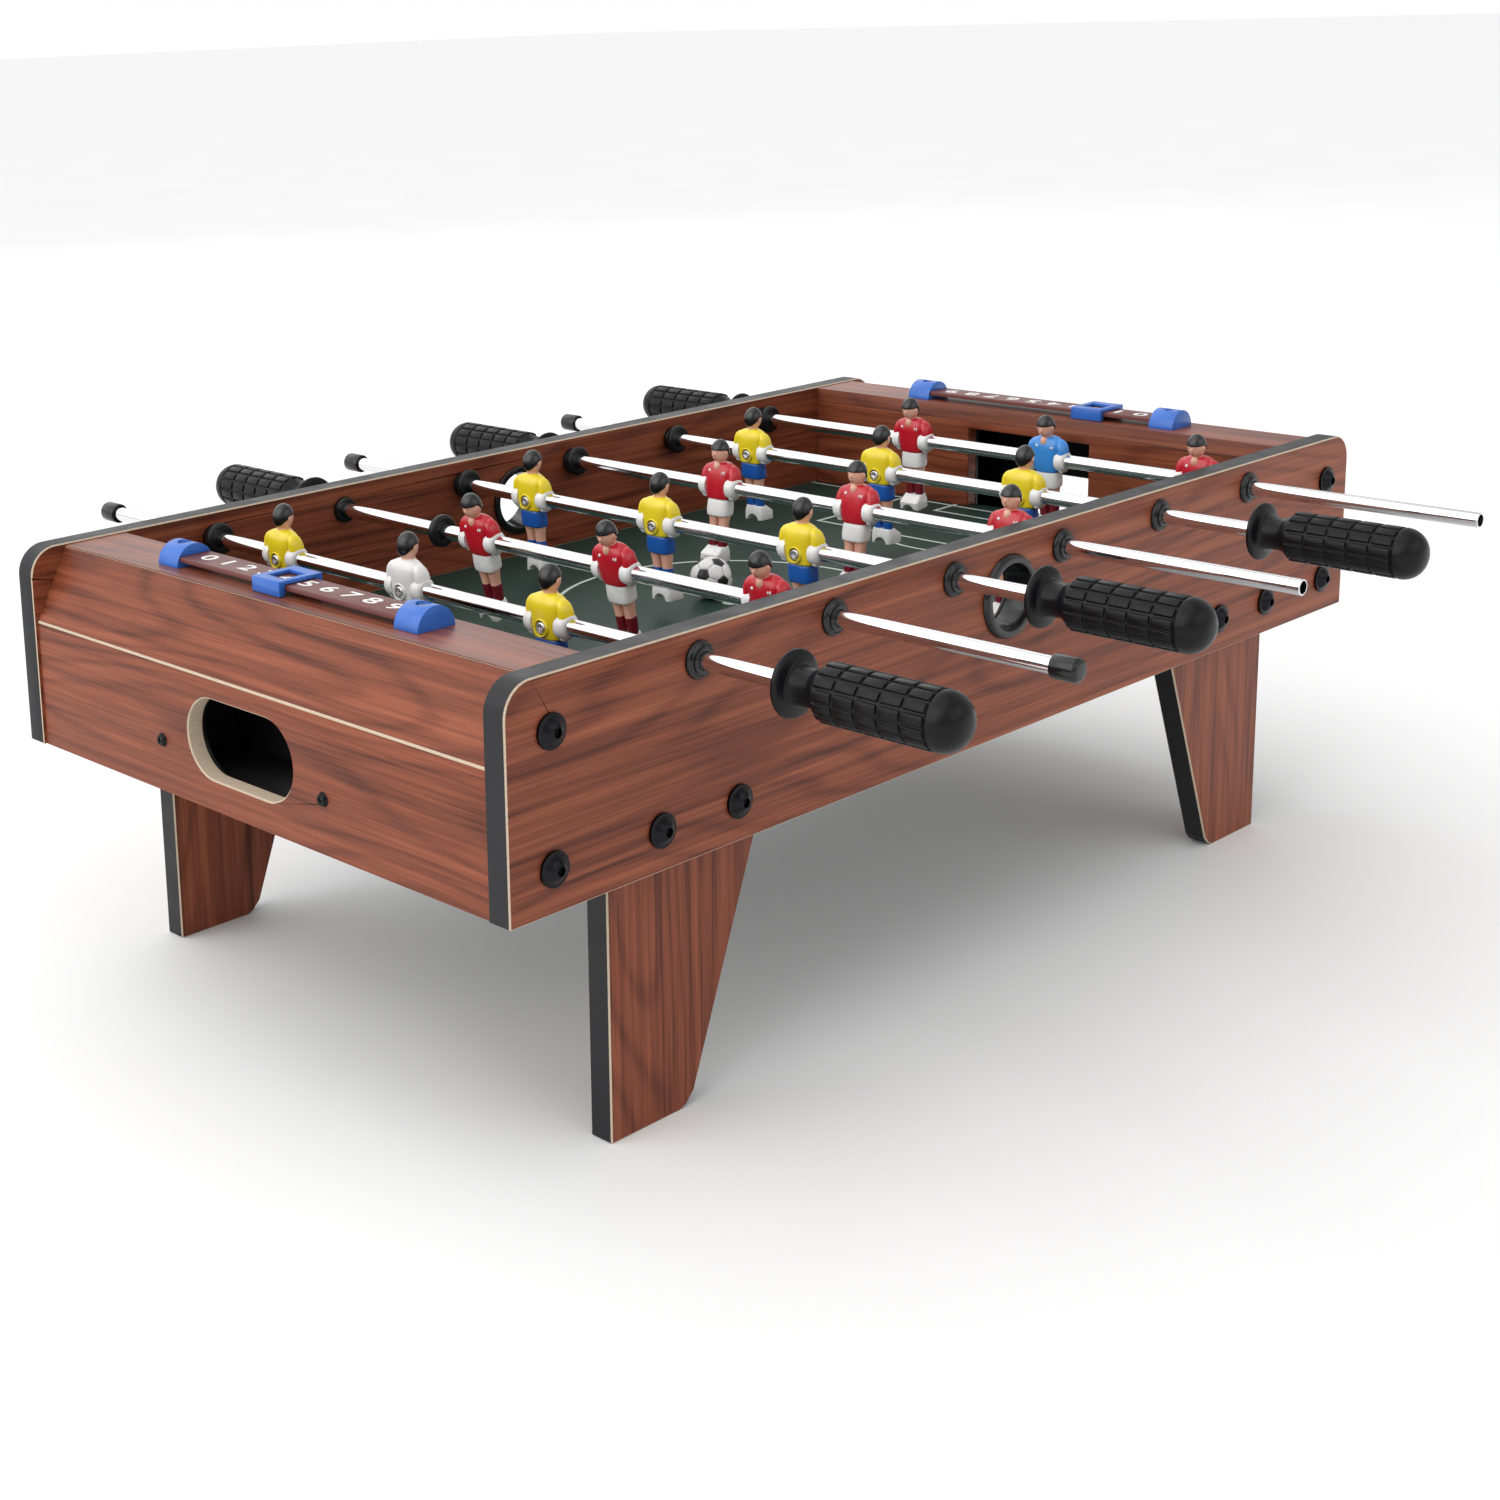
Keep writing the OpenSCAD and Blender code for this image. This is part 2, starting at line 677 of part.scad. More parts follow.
// One figure with its soles down, facing +X, without its bore
module figure_body() {
    half = figure_w / 2;
    waist = half - 3;
    translate([-torso_d / 2, -waist, hip_z]) cube([torso_d, 2 * waist, shoulder_z - hip_z]);
    translate([0, -half, 0]) along_y() cylinder(h = figure_w, r = 6.4);
    translate([0, 0, shoulder_z - 1]) cylinder(h = 6, r = neck_r);
    translate([0, 0, figure_head - head_r]) sphere(r = head_r);
    translate([-shorts_d / 2, -shorts_w / 2, knee_z]) cube([shorts_d, shorts_w, hip_z - knee_z + 1]);
    for (y = [-leg_gap, leg_gap])
        translate([leg_fwd, y, ankle_z]) cylinder(h = knee_z - ankle_z + 1, r = leg_r);
    difference() {
        translate([heel_x, -foot_w / 2, -figure_leg])
            cube([toe_x - heel_x, foot_w, ankle_z + figure_leg + 1]);
        translate([heel_x - 1, 0, -figure_leg]) rotate([0, 90, 0])
            cylinder(h = toe_x - heel_x + 2, r = arch_r);
    }
}

module rod_figures(i) {
    color(shirts[i]) on_rod(i) for (k = [-1, 0, 1])
        translate([0, k * figure_pitch, 0]) rotate([0, rod_turn[i], 0]) rotate([0, 0, 90 - facing[i] * 90])
            difference() {
                figure_body();
                translate([0, -figure_w, 0]) along_y() cylinder(h = 2 * figure_w, r = bore_r);
                translate([0, 0, screw_z]) rotate([0, -90, 0])
                    cylinder(h = torso_d, r = screw_d / 2 + fit);
                translate([-torso_d / 2 + screw_sunk, 0, screw_z]) rotate([0, -90, 0])
                    cylinder(h = torso_d, r = screw_head_d / 2 + fit);
            }
}

// The screw in each figure's back and the set screw in the handle's neck
module rod_screws(i) {
    back = torso_d / 2 - screw_sunk;
    neck = handle_grip_d / 2 - 4;
    color("gray") on_rod(i) {
        for (k = [-1, 0, 1])
            translate([0, k * figure_pitch, 0]) rotate([0, rod_turn[i], 0])
                rotate([0, 0, 90 - facing[i] * 90]) translate([-back, 0, screw_z])
                    rotate([0, 90, 0]) small_screw(back - rod_r - fit);
        translate([0, handle_side[i] * (handle_out + set_screw_at), 0])
            rotate([0, facing[i] * 90, 0]) translate([0, 0, rod_r + fit])
                cylinder(h = neck - rod_r - 0.5, r = screw_d / 2);
    }
}

side_panel(-1);  // side_panel_front
side_panel(1);  // side_panel_back
end_board(-1);  // end_board_left
end_board(1);  // end_board_right
end_top(-1);  // end_top_left
end_top(1);  // end_top_right
goal_wall(-1);  // goal_wall_left
goal_wall(1);  // goal_wall_right
goal_tray(-1);  // goal_tray_left
goal_tray(1);  // goal_tray_right
playfield();
leg(-1, -1);  // leg_front_left
leg(1, -1);  // leg_front_right
leg(-1, 1);  // leg_back_left
leg(1, 1);  // leg_back_right
corner_blocks();
panel_bolts();
panel_inserts();
leg_bolts();
leg_nuts();
tray_screws();
bushings();
bumper_rings();
bumper_ring_loose();
ball_ports();
score_blocks();
score_strips();
score_screws();
score_slider(-1);  // score_slider_left
score_slider(1);  // score_slider_right
ball();
rod_tube(0);  // rod_1_tube
rod_tube(1);  // rod_2_tube
rod_tube(2);  // rod_3_tube
rod_tube(3);  // rod_4_tube
rod_tube(4);  // rod_5_tube
rod_tube(5);  // rod_6_tube
rod_handle(0);  // rod_1_handle
rod_handle(1);  // rod_2_handle
rod_handle(2);  // rod_3_handle
rod_handle(3);  // rod_4_handle
rod_handle(4);  // rod_5_handle
rod_handle(5);  // rod_6_handle
rod_figures(0);  // rod_1_figures
rod_figures(1);  // rod_2_figures
rod_figures(2);  // rod_3_figures
rod_figures(3);  // rod_4_figures
rod_figures(4);  // rod_5_figures
rod_figures(5);  // rod_6_figures
rod_screws(0);  // rod_1_screws
rod_screws(1);  // rod_2_screws
rod_screws(2);  // rod_3_screws
rod_screws(3);  // rod_4_screws
rod_screws(4);  // rod_5_screws
rod_screws(5);  // rod_6_screws
rod_cap(0);  // rod_1_cap
rod_cap(1);  // rod_2_cap
rod_cap(2);  // rod_3_cap
rod_cap(4);  // rod_5_cap
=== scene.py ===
"""Looks for a tabletop foosball table, built round its packed frame."""

import json
import math

import bmesh
import bpy
from mathutils import Matrix, Vector

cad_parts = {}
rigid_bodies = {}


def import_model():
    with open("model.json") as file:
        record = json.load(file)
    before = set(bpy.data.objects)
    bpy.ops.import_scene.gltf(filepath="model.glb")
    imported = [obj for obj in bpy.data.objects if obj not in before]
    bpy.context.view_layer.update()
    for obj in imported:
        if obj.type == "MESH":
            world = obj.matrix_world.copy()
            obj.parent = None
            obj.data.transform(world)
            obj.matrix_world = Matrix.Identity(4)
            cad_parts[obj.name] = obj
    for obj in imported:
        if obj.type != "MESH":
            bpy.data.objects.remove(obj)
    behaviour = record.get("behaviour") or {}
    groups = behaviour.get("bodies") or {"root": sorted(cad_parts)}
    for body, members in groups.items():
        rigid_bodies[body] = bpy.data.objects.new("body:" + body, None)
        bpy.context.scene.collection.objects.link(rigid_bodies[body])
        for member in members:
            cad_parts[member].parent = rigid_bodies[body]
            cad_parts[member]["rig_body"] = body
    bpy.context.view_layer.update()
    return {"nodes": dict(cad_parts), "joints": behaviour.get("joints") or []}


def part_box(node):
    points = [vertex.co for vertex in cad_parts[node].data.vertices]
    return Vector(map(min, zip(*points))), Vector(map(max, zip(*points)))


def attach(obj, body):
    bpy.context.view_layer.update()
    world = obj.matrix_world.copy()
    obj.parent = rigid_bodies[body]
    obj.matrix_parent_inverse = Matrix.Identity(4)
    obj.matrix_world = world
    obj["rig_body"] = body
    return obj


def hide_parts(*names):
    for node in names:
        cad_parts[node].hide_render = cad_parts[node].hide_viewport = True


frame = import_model()

bl_info = {
    "name": "Foosball table",
    "version": (1, 0, 0),
    "blender": (4, 5, 0),
    "location": "View3D > Sidebar > Foosball",
    "description": "Dresses a tabletop foosball table: boards, rods, figures, handles and counters",
    "category": "Mesh",
}

MM = 0.001
RODS = range(1, 7)
ENDS = {"left": -1, "right": 1}
SIDES = ("front", "back")
# Degrees between faces up to which a board's shading runs on
FLAT = 20


# ---------------------------------------------------------------- settings


def color_property(name, description, default):
    return bpy.props.FloatVectorProperty(
        name=name, description=description, default=default, subtype="COLOR", size=3, min=0, max=1
    )


def length_property(name, description, default):
    return bpy.props.FloatProperty(
        name=name, description=description, default=default * MM, unit="LENGTH", min=0
    )


def angle_property(name, description, default):
    return bpy.props.FloatProperty(
        name=name, description=description, default=math.radians(default), unit="ROTATION"
    )


class BoardSettings(bpy.types.PropertyGroup):
    """Wood print, edge band, unfinished board and the pale crease line, a painted highlight"""

    streak: color_property("Streak", "Darkest grain of the wood print", (0.085, 0.019, 0.008))
    ground: color_property("Ground", "Middle tone of the wood print", (0.215, 0.055, 0.025))
    light: color_property("Light", "Palest grain of the wood print", (0.340, 0.100, 0.046))
    band: color_property("Edge band", "Black strip on the boards' edges", (0.007, 0.007, 0.009))
    # This colour also paints the pale line along the end boards' crease, where it is a painted highlight
    bare: color_property("Bare board", "Unfinished board in holes and at corners", (0.62, 0.50, 0.37))
    chamfer: length_property("Chamfer", "Bare line between the print and the band", 0.7)


class FieldSettings(bpy.types.PropertyGroup):
    """Printed field"""

    green: color_property("Green", "Ground of the field", (0.020, 0.045, 0.036))
    white: color_property("White", "Lines on the field", (0.55, 0.62, 0.58))
    line: length_property("Line", "Width of a line", 2.2)
    circle: length_property("Centre circle", "Radius of the centre circle", 98)
    box_x: length_property("Penalty box from the middle", "Where the penalty box starts", 191)
    box_y: length_property("Penalty box half width", "Half the width of the penalty box", 93)
    goal_x: length_property("Goal box from the middle", "Where the goal box starts", 262)
    goal_y: length_property("Goal box half width", "Half the width of the goal box", 54)
    arc_x: length_property("Arc centre", "Centre of the arc at the penalty box", 232)
    arc: length_property("Arc radius", "Radius of the arc at the penalty box", 62)


class FittingSettings(bpy.types.PropertyGroup):
    """Plastic, rubber and metal fittings"""

    black: color_property("Black plastic", "Handles, bushings, ports and caps", (0.005, 0.005, 0.006))
    rubber: color_property("Rubber", "Bumper rings", (0.006, 0.006, 0.007))
    blue: color_property("Counter blue", "Score blocks and sliders", (0.022, 0.130, 0.52))
    strip: color_property("Counter strip", "Number strips", (0.150, 0.045, 0.038))
    digit: color_property("Digits", "Numbers on the strips", (0.85, 0.85, 0.83))
    chrome: color_property("Chrome", "Rod tubes and bright screws", (0.80, 0.80, 0.82))
    digit_size: length_property("Digit size", "Height of a number", 11)
    pad: length_property("Grip pad", "Height of the pads on a handle's grip", 1.2)


class FigureSettings(bpy.types.PropertyGroup):
    """Painted figures"""

    skin: color_property("Skin", "Faces, necks and legs", (0.78, 0.42, 0.30))
    hair: color_property("Hair", "Glossy hair", (0.006, 0.006, 0.007))
    yellow: color_property("Yellow", "Shirts on rods 1, 3 and 5", (0.84, 0.66, 0.020))
    red: color_property("Red", "Shirts on rods 2, 4 and 6", (0.52, 0.008, 0.022))
    maroon: color_property("Socks", "Red team's socks", (0.16, 0.004, 0.014))
    blue: color_property("Blue", "Yellow team's shorts and socks", (0.010, 0.100, 0.42))
    sky: color_property("Keeper blue", "Red team's keeper's shirt", (0.040, 0.260, 0.70))
    white: color_property("White", "Cuffs, boots, shorts and the other keeper", (0.80, 0.80, 0.79))
    width: length_property("Width", "Width over a figure's cuffs", 27)
    lean_2: angle_property("Lean on rod 2", "Turn of the figures on rod 2", -18)
    lean_6: angle_property("Lean on rod 6", "Turn of the figures on rod 6", -9)


class StageSettings(bpy.types.PropertyGroup):
    """Floor, lights and camera"""

    floor: color_property("Floor", "Plain floor", (0.90, 0.90, 0.90))
    eye: bpy.props.FloatVectorProperty(
        name="Eye", description="Place of the camera", default=(-0.92075, -0.81554, 0.49158),
        subtype="TRANSLATION", size=3,
    )
    surround: bpy.props.FloatProperty(
        name="Surround", description="Strength of the light from all round", default=0.62, min=0
    )
    dome: bpy.props.FloatProperty(
        name="Dome", description="Strength of the wide soft light from above", default=1.7, min=0
    )
    heading: angle_property("Heading", "Camera's turn from +Y towards +X", 41.59)
    dip: angle_property("Dip", "Camera's tilt below level", 12.66)
    roll: angle_property("Roll", "Camera's roll", -1.94)
    lens: bpy.props.FloatProperty(name="Lens", description="Focal length in mm", default=54.075)
    shift: bpy.props.FloatVectorProperty(
        name="Shift", description="Camera's lens shift", default=(0.1904, -0.1553), size=2
    )


# ---------------------------------------------------------------- handling objects


def pick(piece):
    """Selects one object and makes it active."""
    bpy.ops.object.select_all(action="DESELECT")
    piece.select_set(True)
    bpy.context.view_layer.objects.active = piece


def add(name, operator, **settings):
    """Adds a primitive with nothing else selected, and names it."""
    bpy.ops.object.select_all(action="DESELECT")
    operator(**settings)
    piece = bpy.context.object
    piece.name = name
    return piece


def edit(piece):
    """Opens an object in edit mode, with faces as what is selected."""
    pick(piece)
    bpy.ops.object.mode_set(mode="EDIT")
    bpy.ops.mesh.select_mode(type="FACE")


def leave():
    bpy.ops.object.mode_set(mode="OBJECT")


def choose_faces(piece, test):
    """In edit mode, selects the faces for which test(centre, normal) is true."""
    bpy.ops.mesh.select_all(action="DESELECT")
    mesh = bmesh.from_edit_mesh(piece.data)
    for face in mesh.faces:
        if test(face.calc_center_median(), face.normal):
            face.select_set(True)
    bmesh.update_edit_mesh(piece.data)


def finish_modifier(piece, kind, **settings):
    """Adds a modifier with its settings and applies it."""
    pick(piece)
    modifier = piece.modifiers.new(kind.title(), kind)
    for key, value in settings.items():
        setattr(modifier, key, value)
    bpy.ops.object.modifier_apply(modifier=modifier.name)


def soften(piece, width, segments=2, angle=30, clamp=True):
    finish_modifier(
        piece, "BEVEL", width=width * MM, segments=segments, limit_method="ANGLE",
        angle_limit=math.radians(angle), use_clamp_overlap=clamp,
    )


def subdivide(piece, levels):
    finish_modifier(piece, "SUBSURF", levels=levels, render_levels=levels)


def cut(piece, cutter):
    """Takes the cutter's volume out of a piece."""
    finish_modifier(piece, "BOOLEAN", object=cutter, operation="DIFFERENCE", solver="EXACT")
    bpy.data.objects.remove(cutter)


def smooth(piece, angle=35):
    pick(piece)
    bpy.ops.object.shade_smooth_by_angle(angle=math.radians(angle))


def take_copy(node, name):
    """A merged copy of a CAD node, ready to be shaped."""
    piece = bpy.data.objects.new(name, frame["nodes"][node].data.copy())
    bpy.context.scene.collection.objects.link(piece)
    piece.data.materials.clear()
    pick(piece)
    bpy.ops.mesh.customdata_custom_splitnormals_clear()
    edit(piece)
    bpy.ops.mesh.select_all(action="SELECT")
    bpy.ops.mesh.remove_doubles(threshold=0.005 * MM)
    bpy.ops.mesh.dissolve_limited(angle_limit=math.radians(0.3))
    leave()
    return piece


def placed_copy(piece, name, place):
    """A copy with its own mesh, moved by a matrix."""
    twin = bpy.data.objects.new(name, piece.data.copy())
    twin.data.transform(place)
    bpy.context.scene.collection.objects.link(twin)
    return twin


def join(pieces, name):
    """Joins objects into the first one."""
    pick(pieces[0])
    for piece in pieces[1:]:
        piece.select_set(True)
    bpy.ops.object.join()
    pieces[0].name = name
    return pieces[0]


def settle(piece):
    """Applies an object's place, turn and scale to its mesh."""
    pick(piece)
    bpy.ops.object.transform_apply(location=True, rotation=True, scale=True)
    return piece


def hand_over(piece, body, slot, *nodes):
    """Makes a piece ride on a body and stand for CAD nodes; the slot is not used."""
    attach(piece, body)
    if nodes:
        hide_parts(*nodes)


def give(piece, *materials):
    piece.data.materials.clear()
    for material in materials:
        piece.data.materials.append(material)


def paint_where(piece, index, test):
    """Gives a material slot to the faces for which test(centre, normal) is true."""
    for face in piece.data.polygons:
        if test(face.center, face.normal):
            face.material_index = index


def paint_by_sides(piece, indices):
    """Gives material slots to faces by how many sides they have."""
    for face in piece.data.polygons:
        face.material_index = indices.get(len(face.vertices), face.material_index)


def body_of(node):
    return frame["nodes"][node]["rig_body"]


def dress(node, material, width, slot, segments=2, angle=35):
    """Rounds a node's edges by a width in mm and gives it its finish."""
    piece = take_copy(node, "dressed_" + node)
    soften(piece, width, segments)
    give(piece, material)
    smooth(piece, angle)
    hand_over(piece, body_of(node), slot, node)


def middle(node):
    low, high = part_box(node)
    return (low + high) / 2


def rod_axis(rod):
    """X and Z of a rod's axis."""
    spot = middle(f"rod_{rod}_tube")
    return spot.x, spot.z


def rod_hole():
    """Radius in mm of a hole that a rod runs through."""
    low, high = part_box("rod_1_tube")
    clearance = 0.06
    return round((high.x - low.x) / 2 / MM, 2) + clearance


def handle_side(rod):
    return 1 if middle(f"rod_{rod}_handle").y > 0 else -1


# ---------------------------------------------------------------- shapes


def lathe(name, outline, steps=32):
    """A shape turned about the Y axis from (radius, y) points in mm, the outline being closed."""
    piece = add(name, bpy.ops.mesh.primitive_plane_add, size=MM)
    bpy.ops.object.mode_set(mode="EDIT")
    bpy.ops.mesh.select_mode(type="VERT")
    bpy.ops.mesh.select_all(action="SELECT")
    bpy.ops.mesh.merge(type="CENTER")
    bpy.ops.transform.translate(value=(outline[0][0] * MM, outline[0][1] * MM, 0))
    for start, end in zip(outline, outline[1:]):
        step = ((end[0] - start[0]) * MM, (end[1] - start[1]) * MM, 0)
        bpy.ops.mesh.extrude_region_move(TRANSFORM_OT_translate={"value": step})
    bpy.ops.mesh.select_all(action="SELECT")
    bpy.ops.mesh.spin(steps=steps, angle=math.tau, center=(0, 0, 0), axis=(0, 1, 0))
    bpy.ops.mesh.select_all(action="SELECT")
    bpy.ops.mesh.remove_doubles(threshold=0.002 * MM)
    bpy.ops.mesh.normals_make_consistent(inside=False)
    leave()
    return piece


def tower(name, sections, corner=0.5):
    """A closed form from stacked sections (z, half depth, half width, x, y) in mm, round or boxy."""
    z, depth, width, x, y = sections[0]
    piece = add(name, bpy.ops.mesh.primitive_plane_add, size=2, location=(x * MM, y * MM, z * MM))
    settle(piece)
    bpy.ops.object.mode_set(mode="EDIT")
    bpy.ops.mesh.select_mode(type="VERT")
    bpy.ops.mesh.select_all(action="SELECT")
    bpy.ops.mesh.bevel(offset=corner, segments=3, affect="VERTICES", clamp_overlap=False)
    bpy.ops.mesh.select_all(action="SELECT")
    bpy.ops.transform.resize(
        value=(depth * MM, width * MM, 1), center_override=(x * MM, y * MM, z * MM)
    )
    for last, new in zip(sections, sections[1:]):
        step = Vector((new[3] - last[3], new[4] - last[4], new[0] - last[0])) * MM
        bpy.ops.mesh.extrude_region_move(TRANSFORM_OT_translate={"value": step})
        bpy.ops.transform.resize(
            value=(new[1] / last[1], new[2] / last[2], 1),
            center_override=(new[3] * MM, new[4] * MM, new[0] * MM),
        )
    bpy.ops.mesh.select_all(action="SELECT")
    bpy.ops.mesh.normals_make_consistent(inside=False)
    leave()
    return piece


def egg(name, centre, radii, segments=16, rings=10):
    """A closed round form, flattened or stretched along the axes."""
    return settle(add(
        name, bpy.ops.mesh.primitive_uv_sphere_add, segments=segments, ring_count=rings,
        radius=MM, location=Vector(centre) * MM, scale=radii,
    ))


def drum(name, centre, radius, length, axis="Z", sides=32):
    """A cylinder along an axis, its centre and sizes in mm."""
    turn = {"X": (0, math.pi / 2, 0), "Y": (math.pi / 2, 0, 0), "Z": (0, 0, 0)}[axis]
    return settle(add(
        name, bpy.ops.mesh.primitive_cylinder_add, vertices=sides, radius=radius * MM,
        depth=length * MM, location=Vector(centre) * MM, rotation=turn,
    ))


# ---------------------------------------------------------------- materials


def new_material(name, color, roughness, metallic=0.0, coat=0.0, specular=0.5):
    material = bpy.data.materials.new(name)
    material.use_nodes = True
    tree = material.node_tree
    shader = tree.nodes["Principled BSDF"]
    shader.inputs["Base Color"].default_value = (*color, 1)
    shader.inputs["Roughness"].default_value = roughness
    shader.inputs["Metallic"].default_value = metallic
    shader.inputs["Coat Weight"].default_value = coat
    shader.inputs["Specular IOR Level"].default_value = specular
    shader.inputs["Coat Roughness"].default_value = 0.12
    return material, tree, shader


def put(tree, kind, inputs=None, **settings):
    """Adds a shader node; an input is a number, a colour or another node's socket."""
    node = tree.nodes.new(kind)
    for key, value in settings.items():
        setattr(node, key, value)
    for key, value in (inputs or {}).items():
        if isinstance(value, bpy.types.NodeSocket):
            tree.links.new(value, node.inputs[key])
        else:
            node.inputs[key].default_value = value
    return node


def calc(tree, operation, a, b=0.0):
    return put(tree, "ShaderNodeMath", {0: a, 1: b}, operation=operation).outputs[0]


def object_space(tree, scale=(1, 1, 1), location=(0, 0, 0)):
    coords = put(tree, "ShaderNodeTexCoord").outputs["Object"]
    mapping = put(tree, "ShaderNodeMapping", {"Vector": coords, "Scale": scale, "Location": location})
    return mapping.outputs["Vector"]


def noise(tree, vector, scale, detail=4.0, roughness=0.55, distortion=0.0):
    inputs = {
        "Vector": vector, "Scale": scale, "Detail": detail, "Roughness": roughness,
        "Distortion": distortion,
    }
    return put(tree, "ShaderNodeTexNoise", inputs).outputs["Fac"]


def ramp(tree, factor, stops, interpolation="LINEAR"):
    """A colour ramp through (position, colour) stops."""
    node = put(tree, "ShaderNodeValToRGB", {"Fac": factor})
    elements = node.color_ramp.elements
    node.color_ramp.interpolation = interpolation
    while len(elements) < len(stops):
        elements.new(0.5)
    for element, (position, color) in zip(elements, stops):
        element.position = position
        element.color = (*color, 1)
    return node.outputs["Color"]


def remap(tree, value, low, high, new_low, new_high):
    return put(
        tree, "ShaderNodeMapRange",
        {"Value": value, "From Min": low, "From Max": high, "To Min": new_low, "To Max": new_high},
    ).outputs["Result"]


def bump(tree, shader, height, distance, strength=1.0):
    normal = put(
        tree, "ShaderNodeBump", {"Height": height, "Distance": distance * MM, "Strength": strength}
    )
    tree.links.new(normal.outputs["Normal"], shader.inputs["Normal"])


def wood_print(name, along, settings, offset=(0, 0, 0), specular=0.25):
    """Satin laminate with printed grain that runs along one axis."""
    material, tree, shader = new_material(name, settings.ground, 0.4, specular=specular)
    axis = "XYZ".index(along)

    def stretched(length, breadth):
        scale = [breadth] * 3
        scale[axis] = length
        return object_space(tree, scale, offset)

    flow = noise(tree, stretched(1.5, 9), 1, 2, 0.5)
    swing = remap(tree, calc(tree, "SINE", calc(tree, "MULTIPLY", flow, 150.0)), -1, 1, 0, 1)
    lines = calc(tree, "POWER", swing, 3.0)
    streaks = noise(tree, stretched(2.6, 210), 1, 6, 0.6, 0.1)
    fine = noise(tree, stretched(16, 800), 1, 3, 0.6)
    tone = calc(tree, "ADD", calc(tree, "MULTIPLY", streaks, 0.48), calc(tree, "MULTIPLY", fine, 0.32))
    tone = calc(tree, "SUBTRACT", tone, calc(tree, "MULTIPLY", lines, 0.075))
    broad = noise(tree, stretched(1.1, 14), 1, 2)
    tone = calc(tree, "ADD", tone, calc(tree, "MULTIPLY", calc(tree, "SUBTRACT", broad, 0.5), 0.16))
    color = ramp(
        tree, tone,
        [(0.24, settings.streak), (0.39, settings.ground), (0.54, settings.light)],
    )
    tree.links.new(color, shader.inputs["Base Color"])
    tree.links.new(remap(tree, fine, 0.3, 0.7, 0.34, 0.46), shader.inputs["Roughness"])
    bump(tree, shader, fine, 0.02, 0.4)
    return material


def moulded(name, color, roughness=0.3, coat=0.0, grain=0.02, scale=900.0, spread=0.06, specular=0.5):
    """Moulded or painted plastic with a faint skin."""
    material, tree, shader = new_material(name, color, roughness, coat=coat, specular=specular)
    place = object_space(tree)
    skin = noise(tree, place, scale, 3)
    cloud = noise(tree, place, scale / 12, 2)
    tint = put(
        tree, "ShaderNodeMix", {"Factor": remap(tree, cloud, 0.3, 0.7, 0.0, 1.0)}, data_type="RGBA"
    )
    tint.inputs["A"].default_value = (*[c * (1 - spread) for c in color], 1)
    tint.inputs["B"].default_value = (*[min(1, c * (1 + spread)) for c in color], 1)
    tree.links.new(tint.outputs["Result"], shader.inputs["Base Color"])
    tree.links.new(
        remap(tree, cloud, 0.3, 0.7, roughness * 0.85, roughness * 1.2), shader.inputs["Roughness"]
    )
    bump(tree, shader, skin, grain, 0.4)
    return material


def polished(name, color, along, roughness=0.1):
    """Plated metal with fine draw marks along one axis."""
    material, tree, shader = new_material(name, color, roughness, metallic=1.0)
    scale = [2600.0] * 3
    scale["XYZ".index(along)] = 40.0
    marks = noise(tree, object_space(tree, scale), 1, 3)
    stain = noise(tree, object_space(tree), 60, 3)
    level = calc(tree, "ADD", remap(tree, marks, 0.3, 0.7, 0, 0.06), remap(tree, stain, 0.4, 0.7, 0, 0.05))
    tree.links.new(calc(tree, "ADD", level, roughness), shader.inputs["Roughness"])
    bump(tree, shader, marks, 0.002, 0.15)
    return material


def bare_board(name, color):
    """Pressed board with a fibrous, speckled look."""
    material, tree, shader = new_material(name, color, 0.8)
    fibre = noise(tree, object_space(tree), 1400, 5, 0.7)
    dark = [c * 0.62 for c in color]
    tree.links.new(ramp(tree, fibre, [(0.3, dark), (0.62, color)]), shader.inputs["Base Color"])
    bump(tree, shader, fibre, 0.12, 0.7)
    return material


